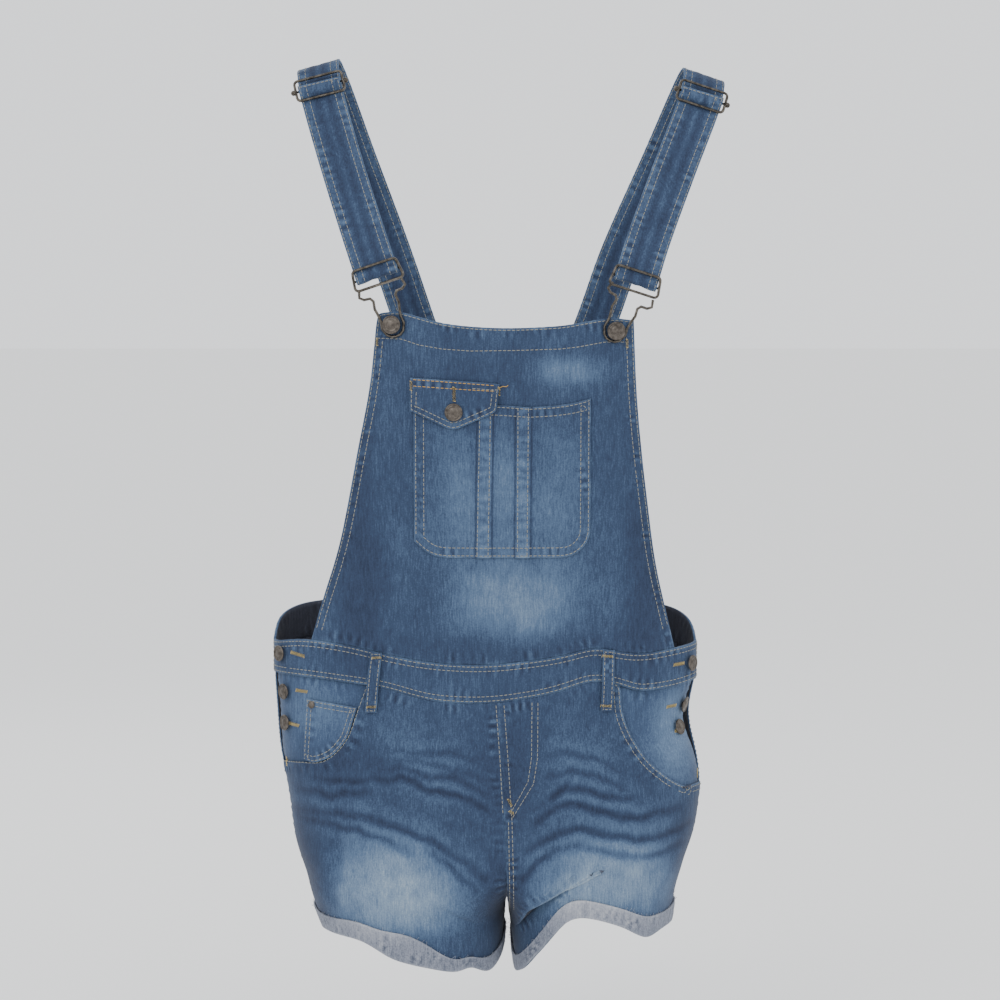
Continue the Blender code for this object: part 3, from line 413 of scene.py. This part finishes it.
def denim(name, stops, streak=0.13, grain=0.15):
    """Washed denim whose blue follows one vertex attribute: wear of the wash, and painted shade and highlight."""
    made, tree, shader = new_material(name)
    place = add_node(tree, "ShaderNodeTexCoord").outputs["Object"]
    total = add_node(tree, "ShaderNodeAttribute", {"attribute_name": "wear_and_shade"}).outputs["Fac"]
    height = None
    # Each yarn pattern: turn about y, size across and along in millimetres, share of the colour
    for turn, across, along, share in ((0, 1.1, 22.0, streak), (40, 1.3, 9.0, grain * 0.8),
                                       (0, 1.2, 1.4, grain), (12, 26.0, 60.0, 0.05)):
        scale = (PER_MM / across, PER_MM / across, PER_MM / along)
        moved = add_node(tree, "ShaderNodeMapping", {"Rotation": (0, radians(turn), 0), "Scale": scale},
                         Vector=place)
        noise = add_node(tree, "ShaderNodeTexNoise", {"Scale": 1.0, "Detail": 2.0, "Roughness": 0.6},
                         Vector=moved.outputs[0]).outputs["Fac"]
        level = add_node(tree, "ShaderNodeMath", {"operation": "SUBTRACT", 1: 0.5}, i0=noise).outputs[0]
        total = add_node(tree, "ShaderNodeMath", {"operation": "MULTIPLY_ADD", 1: 2.0 * share}, i0=level,
                         i2=total).outputs[0]
        if across < 2:
            height = noise if height is None else add_node(tree, "ShaderNodeMath", {"operation": "ADD"},
                                                           i0=noise, i1=height).outputs[0]
    bump = add_node(tree, "ShaderNodeBump", {"Strength": 0.6, "Distance": 0.3 * MM}, Height=height)
    tree.links.new(ramp(tree, total, stops), shader.inputs["Base Color"])
    tree.links.new(bump.outputs[0], shader.inputs["Normal"])
    shader.inputs["Roughness"].default_value = 0.88
    shader.inputs["Specular IOR Level"].default_value = 0.22
    shader.inputs["Sheen Weight"].default_value = 0.08
    return made


# Washed indigo denim, the blue yarn side
washed_denim = denim("washed_indigo_denim", ((0.0, "#161C2B"), (0.2, "#252F45"), (0.36, "#303F58"),
                                             (0.55, "#4B5F7A"), (0.78, "#708398"), (1.0, "#A0ACB6")))
# Lighter denim of the hip pocket facings
light_denim = denim("light_facing_denim", ((0.0, "#1C2638"), (0.36, "#394A65"), (0.6, "#5B718C"),
                                           (1.0, "#A5B0BA")))
# Reverse of the denim: grey weft yarns with specks of blue warp
reverse_denim = denim("reverse_grey_denim", ((0.0, "#343945"), (0.25, "#565C6A"), (0.42, "#777C89"),
                                             (0.7, "#999CA5"), (1.0, "#C0C1C5")), 0.10, 0.26)
# Inside of the garment: a dark denim as painted shade, in place of the grey reverse
painted_shade_inside_denim = denim("inside_painted_shade_denim", ((0.0, "#191A21"), (0.36, "#33353F"), (0.7, "#484C5A"),
                                           (1.0, "#565C6A")))


def thread(name, colour):
    """Cotton-wrapped sewing thread."""
    made, tree, shader = new_material(name)
    shader.inputs["Base Color"].default_value = linear(colour)
    shader.inputs["Roughness"].default_value = 0.75
    shader.inputs["Specular IOR Level"].default_value = 0.3
    return made


cream_thread = thread("cream_grey_thread", "#8B897F")
gold_thread = thread("old_gold_thread", "#B8924E")
bartack_thread = thread("pale_gold_bartack_thread", "#CDB67A")
print("cloth and thread materials ready")

# %% [markdown]
# Sewing draws cloth in: along every seam small puckers run across the stitches, and each pucker's
# crest is rubbed paler in the wash than its valley. The distance of every vertex to the border,
# and how far round the border it is, are enough to place such puckers, with a changing spacing.

# %% Cloth pieces
# node: away, slot, wall, levels, back, pucker height, flat width, flat length, flat area
CLOTH = {
    "front_left": (away_from(-0.09), "denim", DENIM_WALL, 3, False, 0.45, 0.26, 0.30, 0.055),
    "front_right": (away_from(0.09), "denim", DENIM_WALL, 3, False, 0.45, 0.25, 0.30, 0.055),
    "back_left": (away_from(-0.09), "denim", DENIM_WALL, 3, True, 0.45, 0.27, 0.33, 0.07),
    "back_right": (away_from(0.09), "denim", DENIM_WALL, 3, True, 0.45, 0.26, 0.33, 0.07),
    "hip_facing_left": (away_from(0.0), "denim_light", DENIM_WALL, 3, False, 0.3, 0.09, 0.12, None),
    "hip_facing_right": (away_from(0.0), "denim_light", DENIM_WALL, 3, False, 0.3, 0.09, 0.12, None),
    "coin_pocket": (to_front, "denim_light", DENIM_WALL, 3, False, 0.3, 0.05, 0.06, None),
    "waistband_front": (away_from(0.0), "denim", BAND_WALL, 3, False, 0.5, 0.46, 0.032, None),
    "waistband_back": (away_from(0.0), "denim", BAND_WALL, 3, True, 0.5, 0.45, 0.032, None),
    "bib": (to_front, "denim", DENIM_WALL, 3, False, 0.55, 0.29, 0.34, 0.083),
    "bib_pocket": (to_front, "denim", DENIM_WALL, 3, False, 0.5, 0.16, 0.145, None),
    "pocket_flap": (to_front, "denim", DENIM_WALL, 3, False, 0.25, 0.082, 0.045, None),
    "cuff_left": (away_from(-0.09), "denim_reverse", CUFF_WALL, 3, False, 0.5, 0.40, 0.027, None),
    "cuff_right": (away_from(0.09), "denim_reverse", CUFF_WALL, 3, False, 0.5, 0.40, 0.027, None),
    "strap_left": (to_front, "denim", BAND_WALL, 3, False, 0.5, 0.039, 0.90, None),
    "strap_right": (to_front, "denim", BAND_WALL, 3, False, 0.5, 0.039, 0.90, None),
    "belt_loop_front_left": (to_front, "denim", DENIM_WALL, 3, False, 0.1, 0.0105, 0.06, None),
    "belt_loop_front_right": (to_front, "denim", DENIM_WALL, 3, False, 0.1, 0.0105, 0.06, None),
    "belt_loop_back_left": (away_from(0.0), "denim", DENIM_WALL, 3, True, 0.1, 0.0105, 0.06, None),
    "belt_loop_back_right": (away_from(0.0), "denim", DENIM_WALL, 3, True, 0.1, 0.0105, 0.06, None),
}
BODY_COLOURS = {"denim": washed_denim, "denim_light": light_denim, "denim_reverse": reverse_denim}
SHEETS = {}
RIMS = {}


def border_loops(mesh):
    """The border of an open mesh as closed loops of vertex numbers."""
    shape = bmesh.new()
    shape.from_mesh(mesh)
    shape.verts.ensure_lookup_table()
    border = [edge for edge in shape.edges if len(edge.link_faces) == 1]
    links = {}
    for edge in border:
        for one, other in (edge.verts, reversed(edge.verts)):
            links.setdefault(one.index, []).append(other.index)
    loops = []
    unseen = set(links)
    while unseen:
        start = unseen.pop()
        loop = [start]
        here = links[start][0]
        before = start
        while here in unseen:
            unseen.discard(here)
            loop.append(here)
            after = [near for near in links[here] if near != before]
            before, here = here, after[0] if after else start
        loops.append(loop)
    shape.free()
    return loops


def read_points(mesh, normals=False):
    flat = np.empty(len(mesh.vertices) * 3, dtype=np.float32)
    if normals:
        mesh.vertex_normals.foreach_get("vector", flat)
    else:
        mesh.vertices.foreach_get("co", flat)
    return flat.reshape(-1, 3).astype(float)


def nearest_border(points, loops):
    """Distance to the border and length round it, both in millimetres, for every point."""
    tree = KDTree(sum(len(loop) for loop in loops))
    lengths = {}
    run = 0.0
    for loop in loops:
        last = loop[0]
        for number in loop:
            run += np.linalg.norm(points[number] - points[last])
            lengths[number] = run
            last = number
            tree.insert(points[number], number)
        run += 50.0
    tree.balance()
    found = [tree.find(point) for point in points]
    return np.array([item[2] for item in found]), np.array([lengths[item[1]] for item in found])


def border_outward(points, normals, loop, mesh):
    """Direction out of the sheet, in its own plane, at every vertex of one border loop."""
    ring = points[loop]
    ahead = np.roll(ring, -2, axis=0) - np.roll(ring, 2, axis=0)
    outward = np.cross(ahead, normals[loop])
    outward /= np.linalg.norm(outward, axis=1)[:, None] + 1e-12
    # Loops may run either way round: a step outwards must leave the sheet
    centres = np.array([face.center for face in mesh.polygons]) / MM
    tree = KDTree(len(centres))
    for number, centre in enumerate(centres):
        tree.insert(centre, number)
    tree.balance()
    near = np.array([tree.find(point)[0] for point in ring])
    return outward if np.sum((near - ring) * outward) < 0 else -outward


SEAM_LAP = 0.7
# Steepest angle of the walk in degrees, where 62 isn't right: a strap turns round its buckle bar
BENDS = {"strap_left": 77, "strap_right": 77, "front_right": 32}


def dress(node, away, slot, wall, levels, back, pucker, width, length, area):
    """Make the fine cloth of one node, with its creases, puckers, wear, painted shade and thickness."""
    mesh = fine_mesh("cloth_" + node, sheet_faces(node, away, bend=BENDS.get(node, 62)), levels)
    points = read_points(mesh) / MM
    normals = read_points(mesh, normals=True)
    loops = border_loops(mesh)
    distance, run = nearest_border(points, loops)
    dent, wear_and_shade = wash_and_painted_shade(points, back)
    rough = smooth_noise(points, 30)
    wave = np.sin(2 * pi * run / 8.5 + 2.2 * np.sin(run / 31.0) + 1.4 * np.sin(run / 11.0 + 1.0))
    band = np.exp(-((distance - 6.0) / 4.5) ** 2) * (0.65 + 0.5 * rough)
    lift = pucker * wave * band - dent * np.clip(distance / 6.0, 0, 1)
    wear_and_shade += 0.10 * wave * band * np.clip(0.6 + rough, 0.1, 1.3)
    wear_and_shade += 0.16 * np.exp(-(distance / 1.2) ** 2) * (0.8 + 0.4 * rough)
    if node == "bib_pocket":
        for half, rise, top, foot in FELLED_SEAMS:
            away_line = line_distance(points[:, [0, 2]], (top, foot))[0]
            lift += rise / (1 + np.exp((away_line - half) * 3))
            wear_and_shade += 0.08 * np.exp(-(away_line / half) ** 4) * (1 + 0.8 * np.sin(points[:, 2] / 1.5 + 2 * rough))
            # Painted shade: a dark line at the foot of the raised seam
            wear_and_shade -= 0.22 * np.exp(-((away_line - half - 0.9) / 0.9) ** 2)
    if "strap" in node:
        # A groove along the strap: dented, and painted darker in it as painted shade
        wear_and_shade += 0.05 - 0.16 * np.exp(-((distance - STRAP_TROUGH) / 4.0) ** 2)
        lift -= 0.5 * np.exp(-((distance - STRAP_TROUGH) / 4.0) ** 2) * (1 + 0.5 * rough)
    points = points + normals * lift[:, None]
    if node.startswith(("front_", "back_", "waistband_")):
        for loop in loops:
            outward = border_outward(points, normals, loop, mesh)
            points[loop] += outward * SEAM_LAP
    points *= MM
    mesh.vertices.foreach_set("co", points.astype(np.float32).ravel())
    mesh.attributes.new("wear_and_shade", "FLOAT", "POINT").data.foreach_set("value", wear_and_shade.astype(np.float32))
    mesh.materials.clear()
    mesh.materials.append(BODY_COLOURS[slot])
    # Straps, loops and cuffs are folded cloth, the same on both faces
    folded = slot == "denim_reverse" or node.startswith(("strap_", "belt_loop_"))
    # The other pieces show the dark inside denim, painted shade, on their inner faces
    mesh.materials.append(BODY_COLOURS[slot] if folded else painted_shade_inside_denim)
    mesh.shade_smooth()
    mesh.update()
    made = bpy.data.objects.new("cloth_" + node, mesh)
    bpy.context.scene.collection.objects.link(made)
    SHEETS[node] = BVHTree.FromPolygons([Vector(point) for point in points],
                                        [tuple(face.vertices) for face in mesh.polygons])
    RIMS[node] = (points, read_points(mesh, normals=True), loops)
    thicken = made.modifiers.new("thickness", "SOLIDIFY")
    thicken.thickness = wall
    thicken.offset = -1.0
    thicken.material_offset = 1
    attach(made, BODY)
    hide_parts(node)
    return sum(face.area for face in mesh.polygons), len(mesh.polygons)


STRAP_TROUGH = 14.0
for node, row in CLOTH.items():
    surface, count = dress(node, *row)
    flat_area = row[8] or row[6] * row[7]
    print(f"{node}: {count} faces, {surface:.4f} m2 of {flat_area:.4f}")

# %% [markdown]
# The stitch lines are laid the way they are sewn: at a fixed distance inside a border, or along
# a drawn line. A drawn line is kept as picture places, and each place is sent as a ray from the
# camera to the cloth, so the thread lies on the sheet whatever its form. Each stitch is a short
# bent thread that dips into the cloth at both ends.

# %% Laying lines on the cloth
FACING = Vector((0.0, cos(radians(CAMERA_RISE)), -sin(radians(CAMERA_RISE))))
UPWARDS = Vector((0.0, sin(radians(CAMERA_RISE)), cos(radians(CAMERA_RISE))))
EYE = CAMERA_TARGET - FACING * CAMERA_DISTANCE
TAN_PER_PIXEL = METRES_PER_PIXEL / CAMERA_DISTANCE


def cast(px, py, nodes):
    """The cloth under a place of the picture: the point and its normal, towards the camera."""
    across = (px - 500) * TAN_PER_PIXEL
    up = -(py - 500) * TAN_PER_PIXEL
    ray = (FACING + Vector((across, 0, 0)) + UPWARDS * up).normalized()
    hits = [SHEETS[node].ray_cast(EYE, ray) for node in nodes]
    hits = [hit for hit in hits if hit[0]]
    if not hits:
        return None
    point, normal = min(hits, key=lambda hit: hit[3])[:2]
    return point, normal if normal.dot(ray) < 0 else -normal


def picture_place(point):
    """Where a point is in the picture."""
    offset = Vector(point) - EYE
    depth = offset.dot(FACING)
    return np.array((500 + offset.x / depth / TAN_PER_PIXEL, 500 - offset.dot(UPWARDS) / depth / TAN_PER_PIXEL))


def drawn(line, nodes, spacing=0.8):
    """Places on the cloth along a drawn line, in one run or in several where it leaves the cloth."""
    runs = [[]]
    for start, end in zip(line, line[1:]):
        steps = max(1, int(np.hypot(end[0] - start[0], end[1] - start[1]) / spacing))
        for step in range(steps):
            share = step / steps
            hit = cast(start[0] + (end[0] - start[0]) * share, start[1] + (end[1] - start[1]) * share, nodes)
            if hit:
                runs[-1].append(hit)
            elif runs[-1]:
                runs.append([])
    return [run for run in runs if len(run) > 3]


def beside_border(node, offset, near=None, reach=7.0, keep=None):
    """Places a fixed distance inside the border of a sheet, all round or where near a drawn line."""
    points, normals, loops = RIMS[node]
    runs = []
    for loop in loops:
        ring = points[loop]
        ahead = np.roll(ring, -3, axis=0) - np.roll(ring, 3, axis=0)
        inward = np.cross(normals[loop], ahead)
        inward /= np.linalg.norm(inward, axis=1)[:, None] + 1e-12
        run = []
        for number, place in enumerate(ring):
            target = Vector(place + inward[number] * offset * MM)
            hit = SHEETS[node].find_nearest(target)
            if hit[3] > 1.3 * MM:
                target = Vector(place - inward[number] * offset * MM)
                hit = SHEETS[node].find_nearest(target)
            wanted = hit[3] < 1.3 * MM
            if wanted and near is not None:
                wanted = line_distance(picture_place(place)[None, :], near)[0][0] < reach
            if wanted and keep is not None:
                wanted = keep(hit[0] / MM)
            if wanted:
                run.append((hit[0], Vector(normals[loop[number]])))
            elif run:
                runs.append(run)
                run = []
        runs.append(run)
    return [run for run in runs if len(run) > 3]


class Sewing:
    """All the stitches of one thread, kept as one curve object."""

    def __init__(self, name, material, radius):
        self.data = bpy.data.curves.new(name, "CURVE")
        self.data.dimensions = "3D"
        self.data.bevel_depth = radius * MM
        self.data.bevel_resolution = 0
        self.data.materials.append(material)
        self.name = name
        self.count = 0

    def add(self, points):
        spline = self.data.splines.new("POLY")
        spline.points.add(len(points) - 1)
        for place, point in zip(spline.points, points):
            place.co = (*point, 1.0)
        self.count += 1

    def stitch(self, runs, length=3.0, gap=1.1, lift=0.36):
        """Run stitches along every run of places."""
        for run in runs:
            places = np.array([item[0] for item in run])
            ups = np.array([item[1] for item in run])
            steps = np.linalg.norm(np.diff(places, axis=0), axis=1)
            along = np.concatenate(([0], np.cumsum(steps))) / MM
            at = rng.uniform(0, gap)
            while at + length < along[-1]:
                marks = np.array((at, at + 0.5 * length, at + length))
                spots = np.stack([np.interp(marks, along, places[:, axis]) for axis in range(3)], axis=1)
                up = np.stack([np.interp(marks, along, ups[:, axis]) for axis in range(3)], axis=1)
                rise = np.array((-0.25, lift, -0.25))[:, None] * MM
                self.add(spots + up * rise)
                at += length + gap * rng.uniform(0.9, 1.15)

    def bartack(self, line, nodes, width=2.2):
        """A close zigzag of thread along a short drawn line."""
        for run in drawn(line, nodes, 0.25):
            zigzag = []
            for number in range(0, len(run) - 1, 2):
                point, up = run[number]
                ahead = (run[number + 1][0] - point).normalized()
                side = up.cross(ahead).normalized() * width / 2 * MM * (1 if number % 4 else -1)
                zigzag.append(point + side + up * 0.35 * MM)
            if len(zigzag) > 2:
                self.add(zigzag)

    def finish(self):
        made = bpy.data.objects.new(self.name, self.data)
        bpy.context.scene.collection.objects.link(made)
        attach(made, BODY)
        print(self.name, "runs of thread:", self.count)
        return made


cream = Sewing("stitches_cream", cream_thread, 0.36)
gold = Sewing("stitches_gold", gold_thread, 0.36)
tacks = Sewing("bartacks_gold", bartack_thread, 0.34)

# %% [markdown]
# Two close rows of stitches hold every felled seam, hem and pocket edge. The fly is a mock one,
# sewn as a J through the right front panel. Golden bartacks close the places that take the load:
# the belt loops, the pocket corners and the foot of the fly.

# %% Sewing
BODY_FRONT = ("front_left", "front_right")
SCOOP_LINES = {
    "left": ((368, 684), (358, 706), (351, 726), (334, 751), (313, 761), (299, 764), (286.5, 760), (280, 754)),
    "right": ((620, 689), (621, 710), (628, 731), (641, 751), (659, 771), (676, 778), (690, 776), (700, 768)),
}
for side in ("left", "right"):
    strap_node = "strap_" + side
    for offset in (1.7, 7.6):
        rows = beside_border(strap_node, offset)
        cream.stitch(rows)
        # The same rows come out on the other face of the band
        cream.stitch([[(point - up * BAND_WALL, -up) for point, up in row] for row in rows])
    for offset in (1.8, 6.5):
        cream.stitch(beside_border("front_" + side, offset, near=SCOOP_LINES[side], reach=13))
    cream.stitch(beside_border("back_" + side, 1.8))
    cream.stitch(beside_border("back_" + side, 6.5, keep=lambda place: place.z < -545))
    for place in ("front", "back"):
        cream.stitch(beside_border(f"belt_loop_{place}_{side}", 1.7))
    cream.stitch(beside_border("cuff_" + side, 2.2, keep=lambda place: place.y > 30), 2.6)
for node in ("waistband_front", "waistband_back"):
    for offset in (1.9, 6.0):
        cream.stitch(beside_border(node, offset))
cream.stitch(beside_border("bib", 1.9, keep=lambda place: place.z > -520))
cream.stitch(beside_border("bib", 7.4, keep=lambda place: abs(place.x) > 60 and -520 < place.z < -250))
band_line = ((376, 338), (401, 339), (419, 345), (442, 349), (470, 351), (515, 350.5), (560, 349), (578, 347), (605, 342),
             (631, 342))
cream.stitch(drawn(band_line, ("bib",)))
for offset in (1.8, 9.0):
    cream.stitch(beside_border("bib_pocket", offset))
for offset in (1.6, 5.8):
    cream.stitch(beside_border("pocket_flap", offset, keep=lambda place: place.z < -296))
for x, foot in ((480, 477), (490.5, 488), (518, 517.5), (528.5, 527)):
    cream.stitch(drawn(((x, 407), (foot, 557)), ("bib_pocket",)))
for offset in (1.6, 5.5):
    cream.stitch(beside_border("coin_pocket", offset))
for line in (((532, 702), (531.5, 757.5), (528, 782), (509, 816)), ((538, 702), (537.5, 758), (533.5, 784), (510, 822)),
             ((504, 705), (508, 760), (512, 822), (513.5, 880), (514, 912)), ((508.5, 822), (509.6, 880), (510, 912)),
             ((496, 705), (500, 760), (503, 815)), ((375, 655), (378, 682)), ((608, 653), (604, 690))):
    cream.stitch(drawn(line, BODY_FRONT))
gold.stitch(drawn(((413, 386), (440, 388), (470, 390), (499, 391.5)), ("pocket_flap",)))
gold.stitch(drawn(((412, 379.5), (499, 386)), ("pocket_flap",)))
print("stitches:", cream.count, gold.count)

ALL_FRONT = tuple(node for node in CLOTH if "back" not in node)
for line in (((372, 658), (382, 657.5)), ((366.5, 707), (377, 707)), ((602, 656), (613.5, 656.5)),
             ((600.5, 706), (611.5, 706)), ((508, 799), (512, 807)), ((509, 811), (514, 813.5)),
             ((627, 339), (627, 348)), ((411, 381), (411, 391)), ((499, 387), (499, 396)),
             ((377, 338), (377, 346)), ((287, 757), (287, 766)), ((697, 769), (697, 778))):
    tacks.bartack(line, ALL_FRONT)
# Worked buttonholes: one close zigzag of gold thread along each hole
for start, end in (((454, 387), (454, 402)), ((291, 652), (305, 656.5)), ((296, 690), (308, 692)),
                   ((289, 723), (300, 726)), ((684, 663), (673, 665)), ((676, 705), (666, 707)), ((684, 729), (674, 731))):
    tacks.bartack((start, end), ALL_FRONT, 3.0)

# Threads at the raw edge of each turned-up hem, where the cloth frays
fray = Sewing("frayed_hem_threads", thread("frayed_grey_yarn", "#8F929C"), 0.13)
for side in ("left", "right"):
    for run in beside_border("cuff_" + side, 0.3):
        for point, up in run[::2]:
            # Only the upper border is raw: below it there is cloth of the same sheet
            if SHEETS["cuff_" + side].find_nearest(point - Vector((0, 0, 5 * MM)))[3] > 2.5 * MM:
                continue
            lean = Vector(rng.normal(size=3)) * 0.5 * MM
            out = Vector((0, 0, 1))
            length = rng.uniform(0.8, 2.8) * MM
            middle = point + up * 0.4 * MM + out * length * 0.5 + lean
            fray.add((point - up * 0.2 * MM, middle, middle + out * length * 0.5 + lean * 1.5))
# One loose end of gold thread beside the flap
loose = cast(503, 387, ("bib",))
gold.add((loose[0] + Vector((-4, -0.6, -1)) * MM, loose[0] + Vector((0, -1.2, 0.6)) * MM,
          loose[0] + Vector((3, -1.0, 0.2)) * MM, loose[0] + Vector((4.5, -0.8, 1.6)) * MM))
sewn = [made.finish() for made in (cream, gold, tacks, fray)]

# %% [markdown]
# The fittings are bent steel wire with a dark antique plating, mottled dark and bright in a fine
# noise. Their wires are round in the frame too, so a merged and smooth-shaded copy is enough. The
# buttons are spun afresh from a fine profile: a shank, a rolled rim and two plain rings.

# %% Metal
def plated(name, dark, bright, roughness):
    """Antique plated steel: dark in the hollows of a fine noise, brighter where it is rubbed."""
    made, tree, shader = new_material(name)
    place = add_node(tree, "ShaderNodeTexCoord").outputs["Object"]
    noise = add_node(tree, "ShaderNodeTexNoise", {"Scale": 320.0, "Detail": 3.0}, Vector=place).outputs["Fac"]
    tree.links.new(ramp(tree, noise, ((0.3, dark), (0.7, bright))), shader.inputs["Base Color"])
    shader.inputs["Metallic"].default_value = 0.9
    shader.inputs["Roughness"].default_value = roughness
    return made


antique_gunmetal = plated("antique_gunmetal_wire", "#35312D", "#645E56", 0.36)
antique_button = plated("antique_bronze_button", "#3C3733", "#68615A", 0.42)

for node in ("slider_left", "slider_right", "buckle_left", "buckle_right"):
    shape = bmesh.new()
    shape.from_mesh(NODES[node].data)
    bmesh.ops.remove_doubles(shape, verts=shape.verts, dist=0.02 * MM)
    mesh = bpy.data.meshes.new("wire_" + node)
    shape.to_mesh(mesh)
    shape.free()
    mesh.materials.append(antique_gunmetal)
    mesh.shade_smooth()
    wire = bpy.data.objects.new("wire_" + node, mesh)
    bpy.context.scene.collection.objects.link(wire)
    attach(wire, BODY)
    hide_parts(node)

# Half section of a button: share of the radius, height below the top in millimetres
BUTTON_SECTION = ((1.0, 1.9), (1.0, 1.3), (0.97, 0.75), (0.91, 0.45), (0.86, 0.5), (0.82, 0.85), (0.77, 0.9),
                  (0.73, 0.6), (0.66, 0.5), (0.60, 0.55), (0.56, 0.8), (0.51, 0.8), (0.47, 0.45), (0.38, 0.15),
                  (0.22, 0.03), (0.0, 0.0))
BUTTON_TURNS = 48


def button(node):
    """A round metal piece spun on the axis of its solid in the frame."""
    points = read_points(NODES[node].data)
    centre = (points.min(axis=0) + points.max(axis=0)) / 2
    spread = np.linalg.svd(points - points.mean(axis=0), full_matrices=False)[2]
    extents = [np.ptp(points @ axis) for axis in spread]
    axis = spread[int(np.argmin(extents))]
    axis = axis if axis @ np.array((centre[0] * 0.3, -1.0, 0)) > 0 else -axis
    up = Vector(axis)
    side = up.orthogonal().normalized()
    along = points @ axis
    away = points - centre - np.outer((points - centre) @ axis, axis)
    radius = np.linalg.norm(away, axis=1).max() / MM
    low, high = along.min() / MM - centre @ axis / MM, along.max() / MM - centre @ axis / MM
    depth = high - low
    section = [(0.0, depth), (0.42, depth), (0.42, min(2.1, depth * 0.6))]
    section += [(r, h * min(1.0, depth / 3.0)) for r, h in BUTTON_SECTION]
    shape = bmesh.new()
    line = [shape.verts.new(Vector(centre) + (side * r * radius + up * (high - h)) * MM) for r, h in section]
    for first, second in zip(line, line[1:]):
        shape.edges.new((first, second))
    bmesh.ops.spin(shape, geom=list(shape.verts) + list(shape.edges), cent=Vector(centre), axis=up,
                   angle=2 * pi, steps=BUTTON_TURNS, use_merge=True)
    bmesh.ops.remove_doubles(shape, verts=shape.verts, dist=0.001 * MM)
    bmesh.ops.recalc_face_normals(shape, faces=shape.faces)
    mesh = bpy.data.meshes.new("metal_" + node)
    shape.to_mesh(mesh)
    shape.free()
    mesh.materials.append(antique_button)
    mesh.shade_smooth()
    made = bpy.data.objects.new("metal_" + node, mesh)
    bpy.context.scene.collection.objects.link(made)
    smooth = made.modifiers.new("smooth", "SUBSURF")
    smooth.levels = smooth.render_levels = 1
    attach(made, BODY)
    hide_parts(node)
    return radius


for node in sorted(NODES):
    if "button" in node or node == "coin_rivet":
        print(node, "radius mm:", round(button(node), 2))

# %% [markdown]
# The last cell prints the size of the frame beside that of the dressed garment.

# %% Measure and finish
dressed_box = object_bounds()
for name, box in (("cad", cad_box), ("dressed", dressed_box)):
    print(name, "mm:", [round((high - low) / MM, 1) for low, high in zip(*box)])
